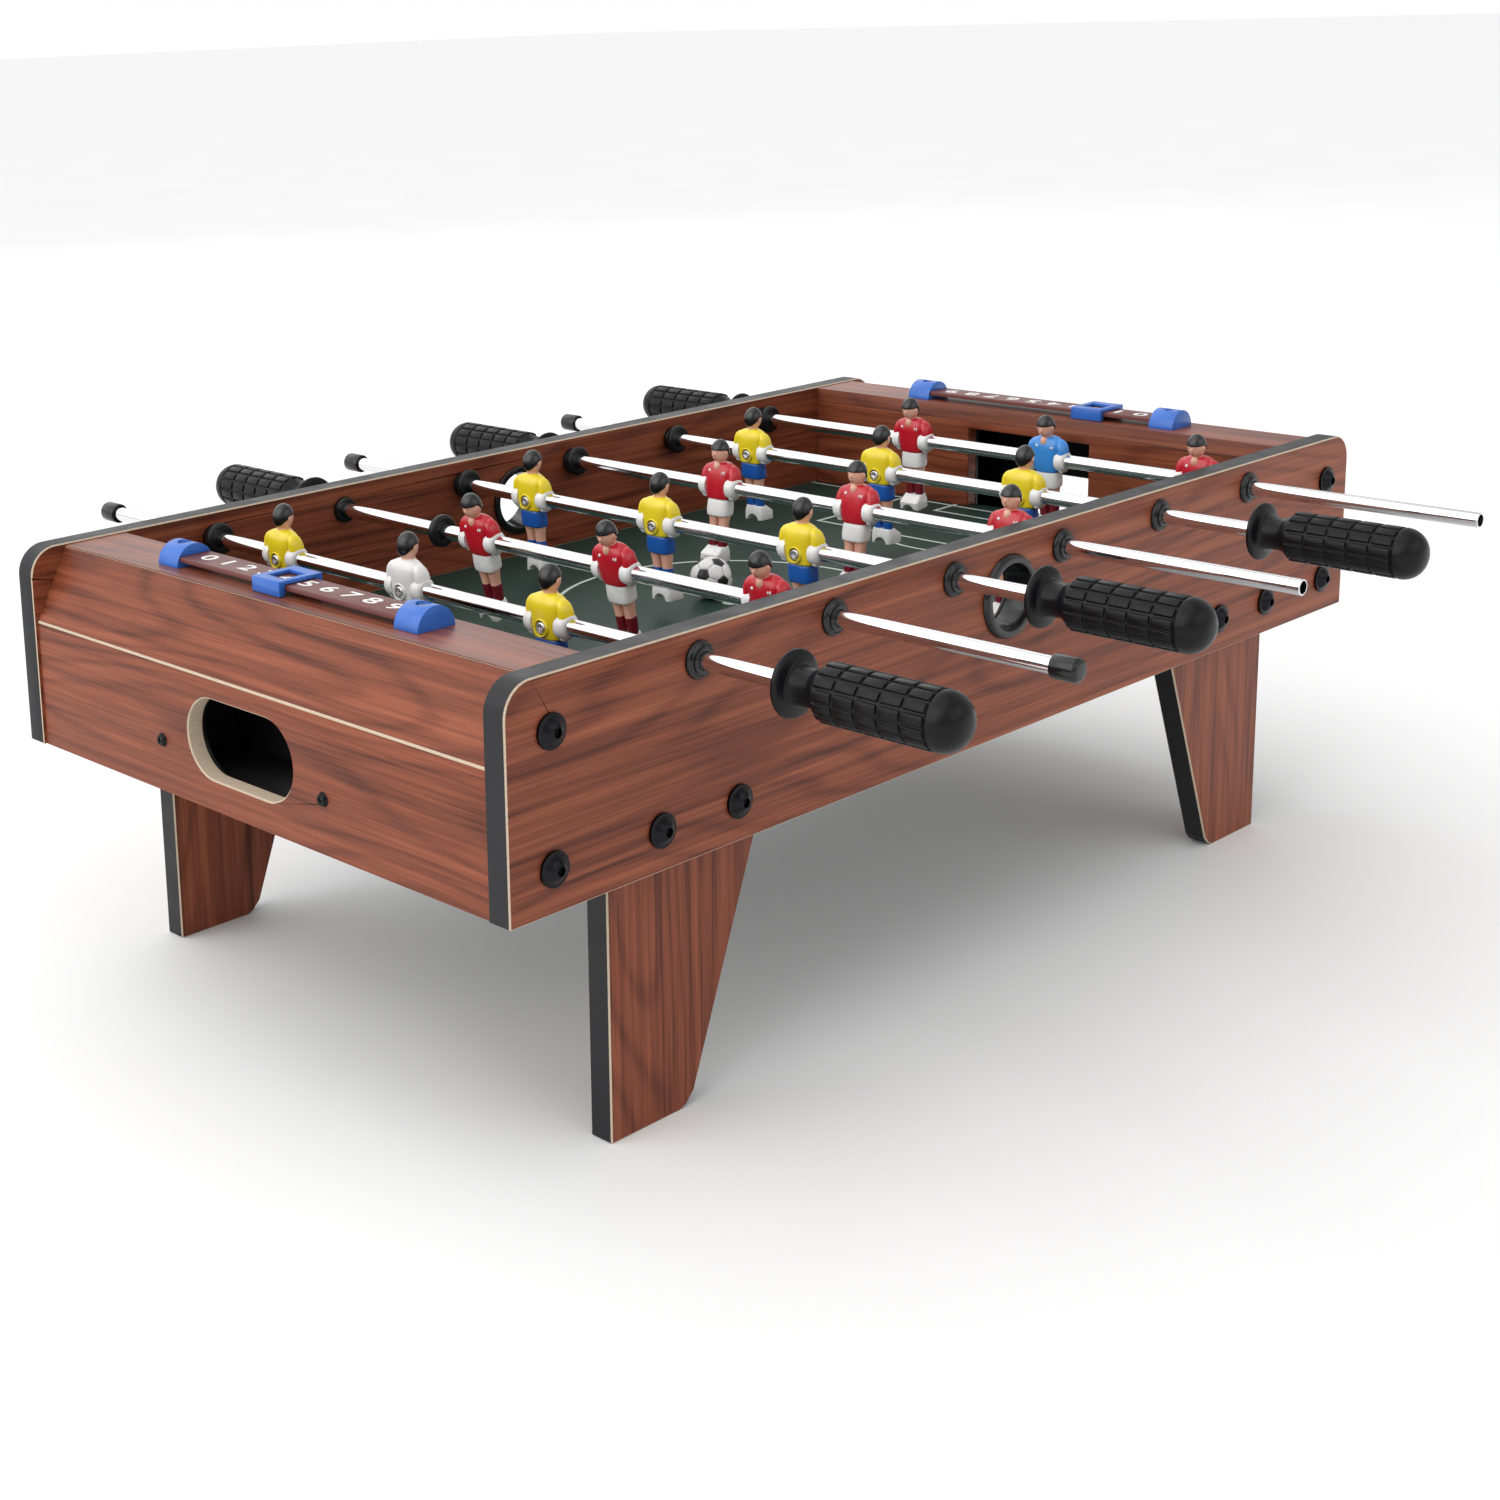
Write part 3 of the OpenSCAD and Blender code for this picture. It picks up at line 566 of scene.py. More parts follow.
def field_print(name, settings, goal_line):
    """Satin green ground with white lines, drawn from distances on the field."""
    material, tree, shader = new_material(name, settings.green, 0.45, specular=0.2)
    place = put(tree, "ShaderNodeSeparateXYZ", {0: put(tree, "ShaderNodeTexCoord").outputs["Object"]})
    x, y = place.outputs[0], place.outputs[1]
    away_x, away_y = calc(tree, "ABSOLUTE", x), calc(tree, "ABSOLUTE", y)
    half = settings.line / 2

    def near(value, target):
        distance = calc(tree, "ABSOLUTE", calc(tree, "SUBTRACT", value, target))
        return calc(tree, "LESS_THAN", distance, half)

    def both(a, b):
        return calc(tree, "MULTIPLY", a, b)

    def distance(dx):
        return calc(tree, "SQRT", calc(tree, "ADD", both(dx, dx), both(y, y)))

    def box(front, side):
        face = both(near(away_x, front), calc(tree, "LESS_THAN", away_y, side + half))
        flank = both(near(away_y, side), calc(tree, "GREATER_THAN", away_x, front))
        return calc(tree, "MAXIMUM", face, flank)

    from_spot = distance(calc(tree, "SUBTRACT", away_x, settings.arc_x))
    marks = [
        near(distance(x), settings.circle),
        near(x, 0.0),
        box(settings.box_x, settings.box_y),
        box(settings.goal_x, settings.goal_y),
        both(near(from_spot, settings.arc), calc(tree, "LESS_THAN", away_x, settings.box_x)),
        calc(tree, "LESS_THAN", distance(x), settings.line * 2),
        calc(tree, "LESS_THAN", from_spot, settings.line * 1.6),
        near(away_x, goal_line),
    ]
    drawn = marks[0]
    for mark in marks[1:]:
        drawn = calc(tree, "MAXIMUM", drawn, mark)
    cloud = noise(tree, object_space(tree), 22, 4)
    ground = ramp(
        tree, cloud, [(0.3, [c * 0.86 for c in settings.green]), (0.7, [c * 1.14 for c in settings.green])]
    )
    color = put(tree, "ShaderNodeMix", {"Factor": drawn}, data_type="RGBA")
    tree.links.new(ground, color.inputs["A"])
    color.inputs["B"].default_value = (*settings.white, 1)
    tree.links.new(color.outputs["Result"], shader.inputs["Base Color"])
    weave = noise(tree, object_space(tree), 1800, 2)
    tree.links.new(remap(tree, weave, 0.3, 0.7, 0.40, 0.52), shader.inputs["Roughness"])
    bump(tree, shader, weave, 0.02, 0.4)
    return material


# ---------------------------------------------------------------- pieces


class FoosballOperator:
    bl_options = {"REGISTER", "UNDO"}


class FOOSBALL_OT_stage(FoosballOperator, bpy.types.Operator):
    """Make the floor, the lights and the camera"""

    bl_idname = "foosball.stage"
    bl_label = "Stage"

    def execute(self, context):
        look = context.scene.foosball_stage
        floor = add("floor", bpy.ops.mesh.primitive_plane_add, size=60)
        paint = moulded(
            "Floor_Paint", look.floor, 0.8, grain=0.01, scale=60, spread=0.01, specular=0.1
        )
        give(floor, paint)
        context.scene.world = self.studio(look.surround)
        lamps = {
            "key": ((-2.6, 0.4, 1.8), (3.4, 2.6), 26),
            "front": ((0.3, -2.8, 1.6), (3.0, 1.6), 12),
            "back": ((1.6, 2.6, 2.0), (3.6, 2.4), 18),
        }
        for name, (place, size, power) in lamps.items():
            light = bpy.data.lights.new(name, "AREA")
            light.shape = "RECTANGLE"
            light.size, light.size_y = size
            light.energy = power
            self.aim(name, light, place)
        dome = bpy.data.lights.new("dome", "SUN")
        dome.energy = look.dome
        dome.angle = math.radians(100)
        self.aim("dome", dome, (-1.5, 1.0, 2.4))
        camera = bpy.data.objects.new("camera", bpy.data.cameras.new("camera"))
        context.scene.collection.objects.link(camera)
        camera.data.lens = look.lens
        camera.data.shift_x, camera.data.shift_y = look.shift
        turn = (
            Matrix.Rotation(-look.heading, 4, "Z")
            @ Matrix.Rotation(math.pi / 2 - look.dip, 4, "X")
            @ Matrix.Rotation(look.roll, 4, "Z")
        )
        camera.matrix_world = Matrix.Translation(look.eye) @ turn
        context.scene.camera = camera
        context.scene.view_settings.view_transform = "Standard"
        return {"FINISHED"}

    def aim(self, name, light, place):
        """Puts a light in the scene, pointed at the table."""
        lamp = bpy.data.objects.new(name, light)
        lamp.location = place
        toward = Vector((0, 0, 0.15)) - Vector(place)
        lamp.rotation_euler = toward.to_track_quat("-Z", "Y").to_euler()
        bpy.context.scene.collection.objects.link(lamp)

    def studio(self, surround):
        """White to look at, and softer as a light."""
        world = bpy.data.worlds.new("Studio")
        world.use_nodes = True
        tree = world.node_tree
        soft = tree.nodes["Background"]
        soft.inputs["Color"].default_value = (1.0, 1.0, 1.0, 1)
        soft.inputs["Strength"].default_value = surround
        plain = put(tree, "ShaderNodeBackground", {"Color": (1, 1, 1, 1), "Strength": 1.0})
        seen = put(tree, "ShaderNodeLightPath").outputs["Is Camera Ray"]
        mix = put(
            tree, "ShaderNodeMixShader",
            {0: seen, 1: soft.outputs["Background"], 2: plain.outputs["Background"]},
        )
        tree.links.new(mix.outputs["Shader"], tree.nodes["World Output"].inputs["Surface"])
        return world


class FOOSBALL_OT_boards(FoosballOperator, bpy.types.Operator):
    """Dress the panels, end boards, end tops, goal walls and legs"""

    bl_idname = "foosball.boards"
    bl_label = "Boards"

    def execute(self, context):
        look = context.scene.foosball_boards
        chamfer = look.chamfer / MM
        band = moulded("Edge_Band", look.band, 0.4, grain=0.03, scale=700, specular=0.35)
        bare = bare_board("Bare_Board", look.bare)
        long_print = wood_print("Print_Long", "X", look)
        cross_print = wood_print("Print_Across", "Y", look, (3, 1, 2))
        upright_print = wood_print("Print_Upright", "Z", look, (5, 2, 1))
        top_print = wood_print("Print_Top", "Y", look, (1, 3, 5), 1.0)
        for side in SIDES:
            self.banded_board("side_panel_" + side, chamfer, long_print, band, bare)
        for end in ENDS:
            self.end_board("end_board_" + end, chamfer, cross_print, bare)
            dress("end_top_" + end, top_print, chamfer, "wood_print", angle=FLAT)
            dress("goal_wall_" + end, cross_print, chamfer, "wood_print", angle=FLAT)
        for side in SIDES:
            for end in ENDS:
                self.banded_board(f"leg_{side}_{end}", chamfer, upright_print, band, bare)
        give(frame["nodes"]["corner_blocks"], bare_board("Block_Wood", look.bare))
        return {"FINISHED"}

    def banded_board(self, node, chamfer, *finishes):
        """A board along X and Z: print on its faces, band on its edges, unfinished board at the chamfers.
        """
        board = take_copy(node, "dressed_" + node)
        soften(board, chamfer, 1, clamp=False)
        give(board, *finishes)
        paint_where(board, 1, lambda centre, normal: abs(normal.y) < 0.2)
        paint_where(board, 2, lambda centre, normal: 0.2 <= abs(normal.y) < 0.9)
        smooth(board, FLAT)
        hand_over(board, body_of(node), "wood_print", node)

    def end_board(self, node, chamfer, *finishes):
        """A folded board: unfinished board round its edges and in its return hole, and a pale line along
        its crease that is a painted highlight.
        """
        narrow, upright = 6e-4, 0.9995
        board = take_copy(node, "dressed_" + node)
        soften(board, chamfer, 1, 10, clamp=False)
        give(board, *finishes)
        # Narrow faces not facing straight out take the unfinished-board colour: the board's own round the
        # edges and in the return hole, a painted highlight along the crease
        for face in board.data.polygons:
            if face.area < narrow and abs(face.normal.x) < upright:
                face.material_index = 1
        smooth(board, FLAT)
        hand_over(board, body_of(node), "wood_print", node)


class FOOSBALL_OT_field(FoosballOperator, bpy.types.Operator):
    """Print the field"""

    bl_idname = "foosball.field"
    bl_label = "Field"

    def execute(self, context):
        goal_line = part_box("goal_wall_right")[0].x - 4 * MM
        look = context.scene.foosball_field
        give(frame["nodes"]["playfield"], field_print("Field_Print", look, goal_line))
        return {"FINISHED"}


class FOOSBALL_OT_fittings(FoosballOperator, bpy.types.Operator):
    """Make the trays, fasteners, bushings, rings and ball ports"""

    bl_idname = "foosball.fittings"
    bl_label = "Fittings"

    def execute(self, context):
        look = context.scene.foosball_fittings
        black = moulded("Black_Plastic", look.black, 0.18, coat=0.15, specular=0.4)
        satin = moulded("Black_Satin", look.black, 0.42, specular=0.35)
        rubber = moulded("Black_Rubber", look.rubber, 0.36, specular=0.35)
        steel = polished("Black_Steel", (0.02, 0.02, 0.022), "Y", 0.22)
        bright = polished("Bright_Steel", look.chrome, "Y", 0.16)
        plans = [
            ("goal_tray_left", satin, 0.4, "black_plastic"),
            ("goal_tray_right", satin, 0.4, "black_plastic"),
            ("panel_bolts", steel, 0.3, "black_steel"),
            ("leg_bolts", steel, 0.3, "black_steel"),
            ("tray_screws", steel, 0.15, "black_steel"),
            ("leg_nuts", bright, 0.2, "bright_steel"),
            ("ball_ports", black, 0.7, "black_plastic"),
            ("bumper_rings", rubber, 0.5, "black_rubber"),
            ("bumper_ring_loose", rubber, 0.5, "black_rubber"),
        ]
        for plan in plans:
            dress(*plan, segments=3)
        give(frame["nodes"]["panel_inserts"], bright)
        self.bushings(black)
        return {"FINISHED"}

    def bushings(self, black):
        """Outer bushings with a raised hub, and plain inner ones."""
        bore = rod_hole()
        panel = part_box("side_panel_back")
        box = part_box("bushings")
        across_rods = rod_axis(RODS[-1])[0] - rod_axis(RODS[0])[0]
        half = (box[1].x - box[0].x - across_rods) / 2 / MM
        proud = (box[1].y - panel[1].y) / MM
        inner_proud = 3.0
        hub = bore + 2.2
        outer = lathe("outer_bushing", [
            (bore, -6), (half - 3, -6), (half - 3, 0), (half, 0), (half, 1.2), (half - 0.5, 2.0),
            (half - 1.6, 2.4), (hub + 0.6, 2.2), (hub, 2.6), (hub, proud - 0.5), (hub - 0.5, proud),
            (bore + 0.4, proud), (bore, proud - 0.4), (bore, -6),
        ], 40)
        rim = half - 1.3
        inner = lathe("inner_bushing", [
            (bore, -6), (rim - 1.6, -6), (rim - 1.6, 0), (rim, 0), (rim, inner_proud - 1.2),
            (rim - 0.4, inner_proud - 0.3), (rim - 1.2, inner_proud), (bore + 0.4, inner_proud),
            (bore, inner_proud - 0.4), (bore, -6),
        ], 40)
        copies = []
        for rod in RODS:
            x, z = rod_axis(rod)
            for side in (1, -1):
                for shape, y, way in ((outer, panel[1].y, side), (inner, panel[0].y, -side)):
                    turn = Matrix.Rotation(0 if way > 0 else math.pi, 4, "Z")
                    place = Matrix.Translation((x, side * y, z)) @ turn
                    copies.append(placed_copy(shape, "bushing", place))
        bpy.data.objects.remove(outer)
        bpy.data.objects.remove(inner)
        piece = join(copies, "rod_bushings")
        give(piece, black)
        smooth(piece, 40)
        hand_over(piece, "root", "black_plastic", "bushings")


class FOOSBALL_OT_counters(FoosballOperator, bpy.types.Operator):
    """Make the score blocks, strips, numbers and sliders"""

    bl_idname = "foosball.counters"
    bl_label = "Score counters"

    def execute(self, context):
        look = context.scene.foosball_fittings
        blue = moulded("Counter_Blue", look.blue, 0.3, coat=0.1)
        strip = moulded("Counter_Strip", look.strip, 0.42)
        digit = moulded("Counter_Digit", look.digit, 0.5)
        dress("score_blocks", blue, 0.5, "blue_plastic", angle=30)
        for end in ENDS:
            dress("score_slider_" + end, blue, 0.35, "blue_plastic", angle=30)
        dress("score_strips", strip, 0.25, "maroon_plastic", angle=30)
        give(frame["nodes"]["score_screws"], polished("Counter_Screw", look.chrome, "Z", 0.2))
        for end, side in ENDS.items():
            piece = join(self.numbers(end, side, look.digit_size), "numbers_" + end)
            give(piece, digit)
            hand_over(piece, "root", "maroon_plastic")
        return {"FINISHED"}

    def numbers(self, end, side, size):
        """The numbers 0 to 9 on one strip, spread over its slider's travel."""
        travel = next(j for j in frame["joints"] if j["name"] == "score_left_slide")["range_m"]
        first, last = [middle("score_slider_left").y + limit for limit in travel]
        spot = Vector((middle("score_slider_" + end).x, 0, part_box("score_strips")[1].z))
        turn = Matrix.Rotation(side * math.pi / 2, 4, "Z")
        wide = Matrix.Diagonal((1.25, 0.8, 1, 1))
        digits = []
        for number in range(10):
            spot.y = -side * (last + (first - last) * number / 9)
            text = add("digit", bpy.ops.object.text_add)
            text.data.body = str(number)
            text.data.size = size * 1.35
            text.data.align_x, text.data.align_y = "CENTER", "CENTER"
            text.data.extrude = 0.04 * MM
            text.data.offset = 0.22 * MM
            text.data.resolution_u = 4
            bpy.ops.object.convert(target="MESH")
            digits.append(bpy.context.object)
            digits[-1].data.transform(Matrix.Translation(spot) @ turn @ wide)
        return digits


class FOOSBALL_OT_rods(FoosballOperator, bpy.types.Operator):
    """Make the tubes, their caps and the handles"""

    bl_idname = "foosball.rods"
    bl_label = "Rods and handles"

    def execute(self, context):
        look = context.scene.foosball_fittings
        chrome = polished("Rod_Chrome", look.chrome, "Y", 0.07)
        black = moulded("Cap_Plastic", look.black, 0.2, coat=0.15, specular=0.4)
        grip = moulded("Grip_Plastic", look.black, 0.3, grain=0.03, specular=0.2)
        low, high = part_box("rod_1_handle")
        shape = self.handle(look, (high.x - low.x) / MM, (high.y - low.y) / MM)
        low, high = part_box("rod_1_tube")
        pipe = self.pipe((high.x - low.x) / 2 / MM, (high.y - low.y) / MM)
        for rod in RODS:
            x, z = rod_axis(rod)
            node = f"rod_{rod}_tube"
            spot = Matrix.Translation((x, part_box(node)[0].y, z))
            self.fit(pipe, "dressed_" + node, spot, chrome, "rod_chrome", node)
            node = f"rod_{rod}_cap"
            if node in frame["nodes"]:
                dress(node, black, 0.5, "black_plastic")
            node = f"rod_{rod}_handle"
            side = handle_side(rod)
            spot = Matrix.Translation((x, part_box(node)[0 if side > 0 else 1].y, z))
            turn = Matrix.Rotation(0 if side > 0 else math.pi, 4, "Z")
            self.fit(shape, "grip_" + node, spot @ turn, grip, "black_plastic", node)
        bpy.data.objects.remove(shape)
        bpy.data.objects.remove(pipe)
        return {"FINISHED"}

    def fit(self, shape, name, place, material, slot, node):
        """Puts a copy of a shape in a node's place."""
        piece = placed_copy(shape, name, place)
        give(piece, material)
        smooth(piece, 40)
        hand_over(piece, body_of(node), slot, node)

    def pipe(self, radius, long):
        """A thin tube with its edges broken, along +Y."""
        bore, edge = radius - 0.8, 0.2
        return lathe("pipe", [
            (bore, 0), (radius - edge, 0), (radius, edge), (radius, long - edge),
            (radius - edge, long), (bore, long), (bore, 0),
        ], 64)

    def handle(self, look, flange_d, long):
        """A flange, a waist, a grip with five rings of pads and a round end, along +Y."""
        pads, columns, rings = 3, 14, 5
        flange = flange_d / 2
        grip = flange - 2
        pad = look.pad / MM
        ground = grip - pad
        waist = grip - 4.6
        bore = rod_hole()
        start, stop = 20.0, long - 13.0
        gap = 1.4
        length = (stop - start - gap * (rings - 1)) / rings
        outline = [
            (bore, 0), (flange - 1.2, 0), (flange - 0.3, 0.6), (flange, 1.7), (flange - 0.3, 2.8),
            (flange - 1.4, 3.4), (waist + 1.6, 4.0), (waist + 0.4, 5.2), (waist, 7.5), (waist, 13.0),
            (waist + 0.7, 15.5), (ground - 0.4, 18.6), (ground, start),
        ]
        for ring in range(rings):
            y = start + ring * (length + gap)
            outline.append((ground, y + length))
            if ring < rings - 1:
                outline.append((ground, y + length + gap))
        outline.append((grip, stop + 1.6))
        dome = long - stop - 1.6
        for step in range(1, 8):
            turn = step / 8 * math.pi / 2
            outline.append((grip * math.cos(turn) ** 0.85, stop + 1.6 + dome * math.sin(turn)))
        outline += [(0, long), (0, 50), (bore, 50), (bore, 0)]
        piece = lathe("handle", outline, columns * (pads + 1))
        edit(piece)

        def on_pad(centre, normal):
            radius = math.hypot(centre.x, centre.z) / MM
            y = centre.y / MM
            column = math.atan2(centre.z, centre.x) / math.tau * columns % 1.0
            along = (y - start) % (length + gap)
            return (
                start < y < stop and radius > waist and along < length and column * (pads + 1) < pads
            )

        choose_faces(piece, on_pad)
        bpy.ops.mesh.extrude_region_shrink_fatten(
            TRANSFORM_OT_shrink_fatten={"value": look.pad, "use_even_offset": True}
        )
        leave()
        reach = max(
            math.hypot(v.co.x, v.co.z) for v in piece.data.vertices if start * MM < v.co.y < 40 * MM
        )
        if reach < (ground + pad / 2) * MM:
            raise RuntimeError("the pads went inwards")
        soften(piece, 0.5, 3, 35)
        cut(piece, drum("screw_hole", (-waist, 9, 0), 1.7, 6, "X", 20))
        return piece


# A figure's head: its centre and radii in mm, from the rod's axis
HEAD_AT = (0.2, 0, 20.6)
HEAD_RADII = (5.3, 4.9, 6.7)


class FOOSBALL_OT_figures(FoosballOperator, bpy.types.Operator):
    """Make the painted figures and their screws"""

    bl_idname = "foosball.figures"
    bl_label = "Figures"

    def execute(self, context):
        look = context.scene.foosball_figures
        paints = {
            name: moulded("Paint_" + name.title(), getattr(look, name), 0.28, coat=0.25, grain=0.015)
            for name in ("skin", "hair", "yellow", "red", "maroon", "blue", "sky", "white")
        }
        outfits = {
            "yellow": ("yellow", "white", "blue", "skin", "blue", "white", "hair"),
            "white": ("white", "white", "blue", "skin", "blue", "white", "hair"),
            "red": ("red", "white", "white", "skin", "maroon", "white", "hair"),
            "sky": ("sky", "white", "white", "skin", "maroon", "white", "hair"),
        }
        metal = polished("Screw_Metal", context.scene.foosball_fittings.chrome, "X", 0.3)
        shape = self.figure()
        for rod in RODS:
            node = f"rod_{rod}_figures"
            low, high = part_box(node)
            x, z = rod_axis(rod)
            facing = -handle_side(rod)
            team = "yellow" if facing > 0 else "red"
            keeper = {1: "white", 6: "sky"}.get(rod, team)
            pitch = (high.y - low.y - look.width) / 2
            lean = {2: look.lean_2, 6: look.lean_6}.get(rod, 0)
            for place in (-1, 0, 1):
                spot = Matrix.Translation((x, (low.y + high.y) / 2 + place * pitch, z))
                turn = Matrix.Rotation(lean, 4, "Y")
                face = Matrix.Rotation(0 if facing > 0 else math.pi, 4, "Z")
                figure = placed_copy(shape, f"player_{rod}_{place + 2}", spot @ turn @ face)
                for index, part in enumerate(outfits[keeper if place == 0 else team]):
                    figure.data.materials[index] = paints[part]
                hand_over(figure, body_of(node), f"{team}_figure", *([node] if place == 0 else []))
            dress(f"rod_{rod}_screws", metal, 0.15, "bright_steel")
        bpy.data.objects.remove(shape)
        for blank in self.blanks():
            bpy.data.materials.remove(blank)
        return {"FINISHED"}

    def blanks(self):
        """Stand-ins that keep a figure's seven paints apart until it is painted."""
        names = [f"Blank_{index}" for index in range(7)]
        return [bpy.data.materials.get(name) or bpy.data.materials.new(name) for name in names]

    def figure(self):
        """One figure facing +X, its rod along Y through the origin, with seven paint slots."""
        shirt, cuff, shorts, skin, sock, boot, hair = range(7)
        hole = rod_hole()
        screw_z = -1.5
        parts = []

        def keep(piece, slot, levels=2):
            if levels:
                subdivide(piece, levels)
            piece.data.materials.clear()
            for blank in self.blanks():
                piece.data.materials.append(blank)
            paint_where(piece, slot, lambda centre, normal: True)
            smooth(piece, 50)
            parts.append(piece)
            return piece

        torso = tower("torso", [
            (-7.2, 5.0, 7.6, 0, 0), (-6.9, 5.6, 8.3, 0, 0), (-2, 6.1, 8.8, 0, 0), (3, 6.3, 9.1, -0.4, 0),
            (8, 6.2, 9.9, -0.8, 0), (11.3, 5.4, 9.8, -1.0, 0), (13.4, 4.1, 7.4, -1.0, 0),
            (14.7, 3.1, 4.2, -0.9, 0),
        ], 0.62)
        subdivide(torso, 2)
        cut(torso, drum("pocket", (-7.0, 0, screw_z), 3.6, 6, "X", 24))
        keep(torso, shirt, 0)
        rim = lathe("rim", [(3.6, 4.6), (4.5, 4.6), (4.4, 6.6), (4.0, 7.1), (3.6, 6.9), (3.6, 4.6)], 24)
        to_back = Matrix.Rotation(math.pi / 2, 4, "Z")
        rim.data.transform(Matrix.Translation((0, 0, screw_z * MM)) @ to_back)
        keep(rim, shirt, 0)
        for side in (-1, 1):
            arm = tower("arm", [
                (-7.2, 2.6, 1.3, 0, side * 9.8), (-6.2, 3.8, 2.2, 0, side * 10.1),
                (-1.5, 4.8, 2.6, 0, side * 10.6), (3.6, 4.5, 2.6, -0.2, side * 10.7),
                (8.0, 4.3, 2.7, -0.7, side * 10.2), (11.0, 3.6, 2.5, -1.0, side * 9.2),
                (12.9, 1.9, 1.4, -1.0, side * 8.0),
            ], 0.7)
            keep(arm, shirt)
            paint_where(arm, cuff, lambda centre, normal: centre.z < 3.4 * MM)
            hub = lathe("hub", [
                (hole, 7.5), (6.2, 7.5), (6.5, 9.5), (6.3, 11.6), (5.6, 12.8), (4.7, 13.4),
                (hole, 13.3), (hole, 7.5),
            ], 24)
            if side < 0:
                hub.data.transform(Matrix.Rotation(math.pi, 4, "Z"))
            keep(hub, cuff, 0)
        keep(tower("shorts", [
            (-17.2, 4.7, 7.2, 1.0, 0), (-16.9, 5.2, 7.8, 1.0, 0), (-13, 5.5, 8.0, 0.6, 0),
            (-8.5, 5.2, 7.7, 0.1, 0), (-6, 4.8, 7.3, 0, 0),
        ], 0.6), shorts)
        for side in (-1, 1):
            leg = tower("leg", [
                (-36.8, 2.6, 2.7, 2.9, side * 3.3), (-33, 2.7, 2.8, 2.6, side * 3.3),
                (-28, 3.0, 3.0, 2.0, side * 3.4), (-25.8, 2.9, 2.9, 1.9, side * 3.4),
                (-25.6, 2.7, 2.7, 1.9, side * 3.4), (-21.5, 2.8, 2.9, 1.5, side * 3.5),
                (-18, 3.3, 3.4, 1.1, side * 3.6), (-15, 3.4, 3.5, 0.8, side * 3.6),
            ], 0.75)
            keep(leg, skin)
            paint_where(leg, sock, lambda centre, normal: centre.z < -25.7 * MM)
        boots = tower("boots", [
            (-44.0, 6.4, 7.0, 5.5, 0), (-38.8, 6.3, 6.9, 5.4, 0), (-36.8, 4.7, 6.4, 4.0, 0),
            (-35.0, 3.4, 5.8, 2.9, 0),
        ], 0.3)
        soften(boots, 0.8, 2, 25)
        cut(boots, drum("arch", (5.5, 0, -44.6), 4.4, 40, "X", 28))
        cut(boots, drum("toe_lift", (12.6, 0, -45.6), 2.6, 40, "Y", 24))
        soften(boots, 0.3, 2, 40)
        keep(boots, boot, 0)
        keep(drum("neck", (-0.5, 0, 14.6), 3.0, 5, "Z", 20), skin, 0)
        keep(egg("throat", (3.0, 0, 12.2), (1.9, 2.3, 3.0), 16, 10), skin, 0)
        for y, z, wide in ((-4.3, 9.6, 1.0), (5.2, 8.9, 0.45), (6.5, 8.9, 0.45)):
            keep(egg("badge", (4.1, y, z), (1.25, wide, 1.0), 12, 8), cuff, 0)
        head = egg("head", HEAD_AT, HEAD_RADII, 40, 32)
        edit(head)

        def under_hair(centre, normal):
            x, z = centre.x / MM, centre.z / MM
            return z > 22.0 if x > 0.4 else z > 22.0 + 1.25 * (x - 0.4)

        choose_faces(head, under_hair)
        bpy.ops.mesh.extrude_region_shrink_fatten(TRANSFORM_OT_shrink_fatten={"value": 0.6 * MM})
        leave()
        keep(head, skin, 1)
        paint_where(head, hair, lambda centre, normal: self.is_hair(centre))
        keep(egg("nose", (5.3, 0, 19.6), (0.9, 0.7, 1.4), 12, 8), skin, 0)
        for side in (-1, 1):
            keep(egg("ear", (0.2, side * 4.8, 20.0), (1.0, 0.6, 1.5), 12, 8), skin, 0)
            keep(egg("eye", (4.8, side * 1.8, 20.7), (0.4, 0.5, 0.35), 10, 6), hair, 0)
        keep(egg("mouth", (4.85, 0, 16.9), (0.4, 1.0, 0.28), 10, 6), sock, 0)
        return join(parts, "figure")

    def is_hair(self, centre):
        """True outside the head itself: the hair stands proud of it."""
        away = centre / MM - Vector(HEAD_AT)
        return sum((part / radius) ** 2 for part, radius in zip(away, HEAD_RADII)) > 1.05


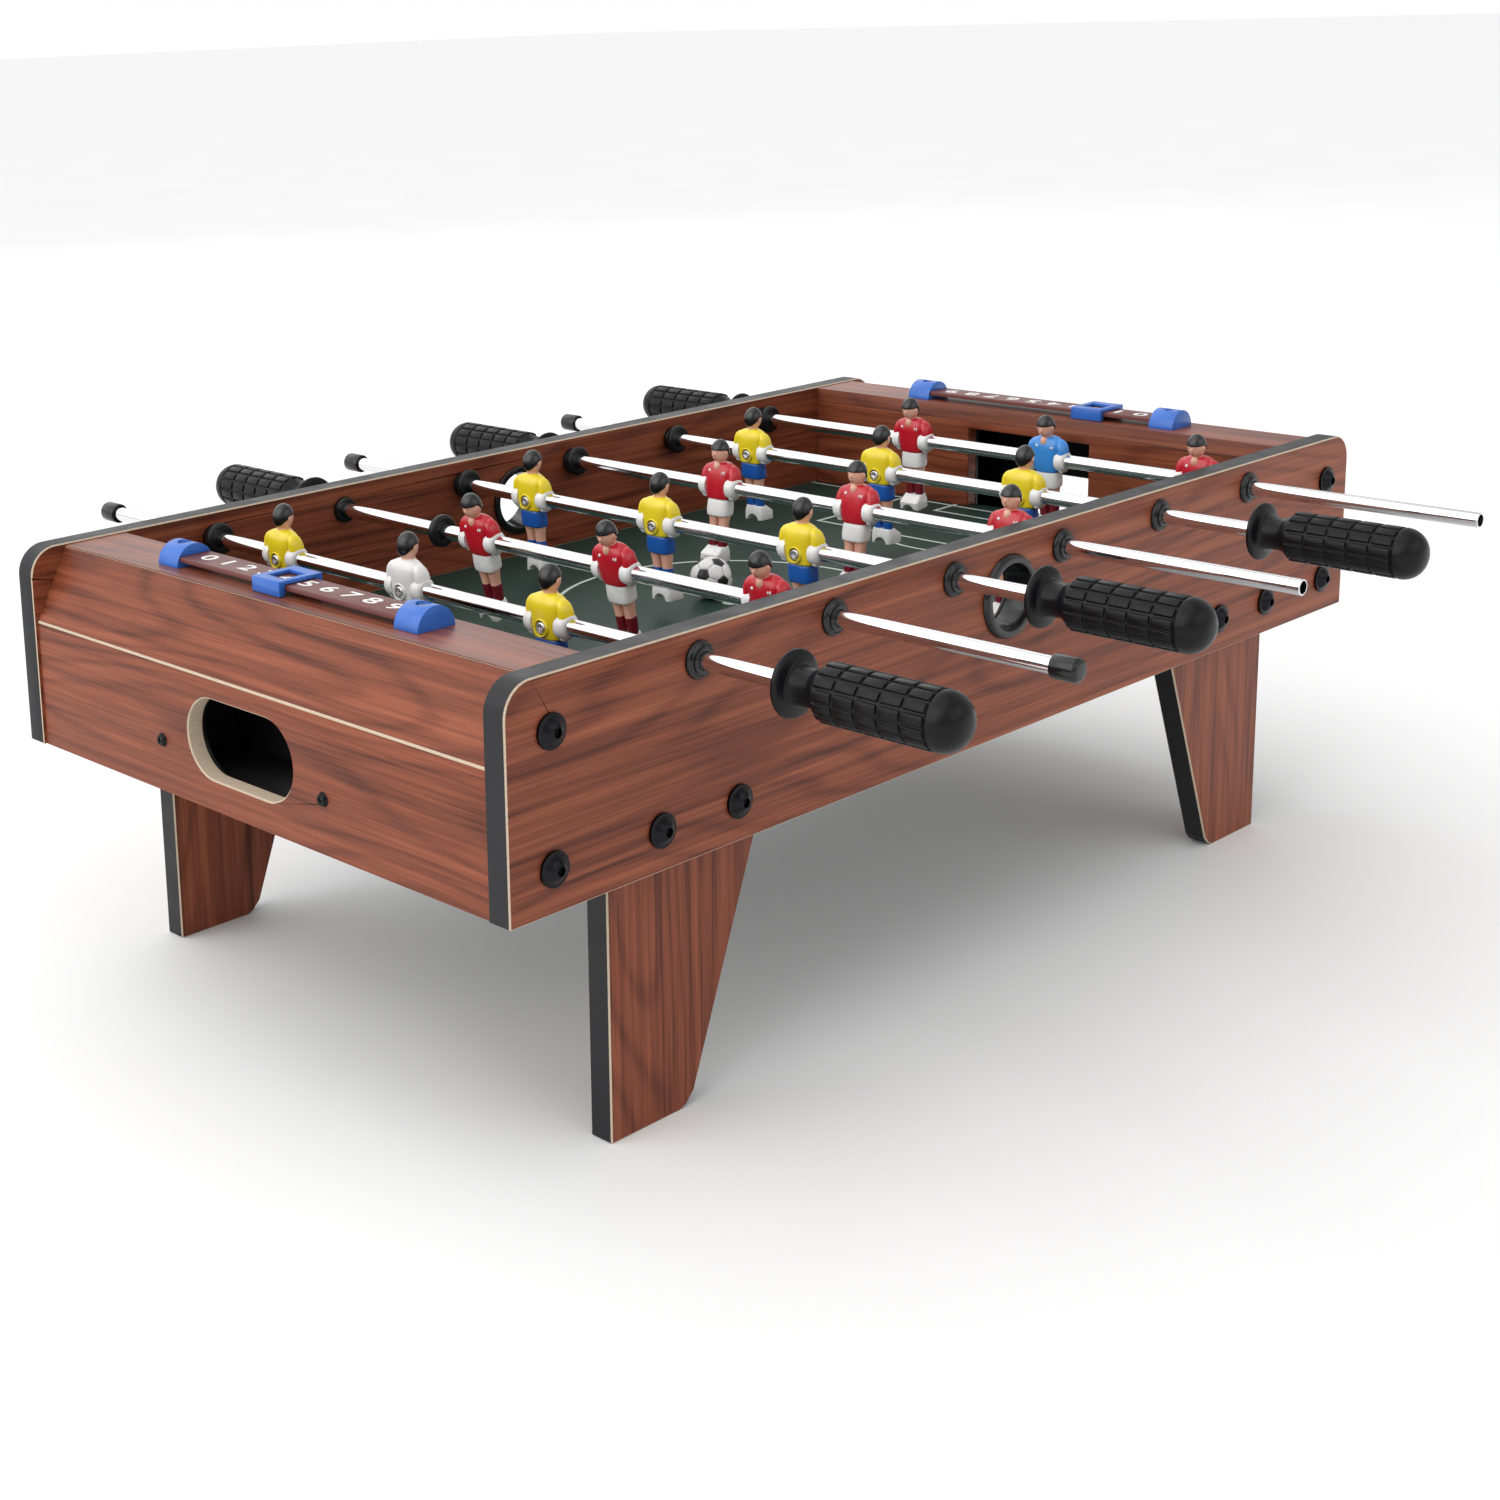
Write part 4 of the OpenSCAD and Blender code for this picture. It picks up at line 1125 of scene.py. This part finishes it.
class FOOSBALL_OT_ball(FoosballOperator, bpy.types.Operator):
    """Make the ball, with twelve dark five-sided panels"""

    bl_idname = "foosball.ball"
    bl_label = "Ball"

    def execute(self, context):
        low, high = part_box("ball")
        centre, radius = (low + high) / 2, (high.z - low.z) / 2
        ball = add(
            "match_ball", bpy.ops.mesh.primitive_ico_sphere_add, subdivisions=1, radius=radius
        )
        bpy.ops.object.mode_set(mode="EDIT")
        bpy.ops.mesh.select_mode(type="VERT")
        bpy.ops.mesh.select_all(action="SELECT")
        bpy.ops.mesh.bevel(offset_type="PERCENT", offset_pct=33.33, affect="VERTICES")
        leave()
        give(
            ball,
            moulded("Ball_White", (0.82, 0.82, 0.80), 0.3),
            moulded("Ball_Black", (0.012, 0.012, 0.013), 0.3),
            moulded("Ball_Seam", (0.25, 0.25, 0.25), 0.5),
        )
        paint_by_sides(ball, {5: 1, 6: 0})
        edit(ball)
        bpy.ops.mesh.select_all(action="SELECT")
        bpy.ops.mesh.inset(thickness=0.18 * MM, use_individual=True)
        leave()
        paint_by_sides(ball, {4: 2})
        edit(ball)
        bpy.ops.mesh.select_all(action="SELECT")
        bpy.ops.mesh.poke()
        bpy.ops.mesh.select_all(action="SELECT")
        bpy.ops.mesh.subdivide(number_cuts=4)
        bpy.ops.mesh.select_all(action="SELECT")
        bpy.ops.transform.tosphere(value=1.0)
        leave()
        scale = radius / max(v.co.length for v in ball.data.vertices)
        seams = [face for face in ball.data.polygons if face.material_index == 2]
        in_seam = {index for face in seams for index in face.vertices}
        turn = Matrix.Rotation(0.5, 4, "X") @ Matrix.Rotation(0.7, 4, "Z")
        for vertex in ball.data.vertices:
            sunk = 0.985 if vertex.index in in_seam else 1.0
            vertex.co *= scale * sunk
        ball.data.transform(Matrix.Translation(centre) @ turn)
        smooth(ball, 60)
        hand_over(ball, body_of("ball"), "ball_plastic", "ball")
        return {"FINISHED"}


STEPS = (
    FOOSBALL_OT_stage,
    FOOSBALL_OT_boards,
    FOOSBALL_OT_field,
    FOOSBALL_OT_fittings,
    FOOSBALL_OT_counters,
    FOOSBALL_OT_rods,
    FOOSBALL_OT_figures,
    FOOSBALL_OT_ball,
)
SETTINGS = {
    "foosball_boards": BoardSettings,
    "foosball_field": FieldSettings,
    "foosball_fittings": FittingSettings,
    "foosball_figures": FigureSettings,
    "foosball_stage": StageSettings,
}


class FOOSBALL_PT_panel(bpy.types.Panel):
    """Foosball table"""

    bl_idname = "FOOSBALL_PT_panel"
    bl_label = "Foosball table"
    bl_space_type = "VIEW_3D"
    bl_region_type = "UI"
    bl_category = "Foosball"

    def draw(self, context):
        for step in STEPS:
            self.layout.operator(step.bl_idname)
        for name, group in SETTINGS.items():
            box = self.layout.box()
            box.label(text=group.__doc__)
            for key in group.__annotations__:
                box.prop(getattr(context.scene, name), key)


def register():
    for group in SETTINGS.values():
        bpy.utils.register_class(group)
    for name, group in SETTINGS.items():
        setattr(bpy.types.Scene, name, bpy.props.PointerProperty(type=group))
    for step in STEPS:
        bpy.utils.register_class(step)
    bpy.utils.register_class(FOOSBALL_PT_panel)


def unregister():
    bpy.utils.unregister_class(FOOSBALL_PT_panel)
    for step in reversed(STEPS):
        bpy.utils.unregister_class(step)
    for name, group in SETTINGS.items():
        delattr(bpy.types.Scene, name)
        bpy.utils.unregister_class(group)


def main():
    register()
    for step in STEPS:
        area, name = step.bl_idname.split(".")
        getattr(getattr(bpy.ops, area), name)()


if __name__ == "__main__":
    main()
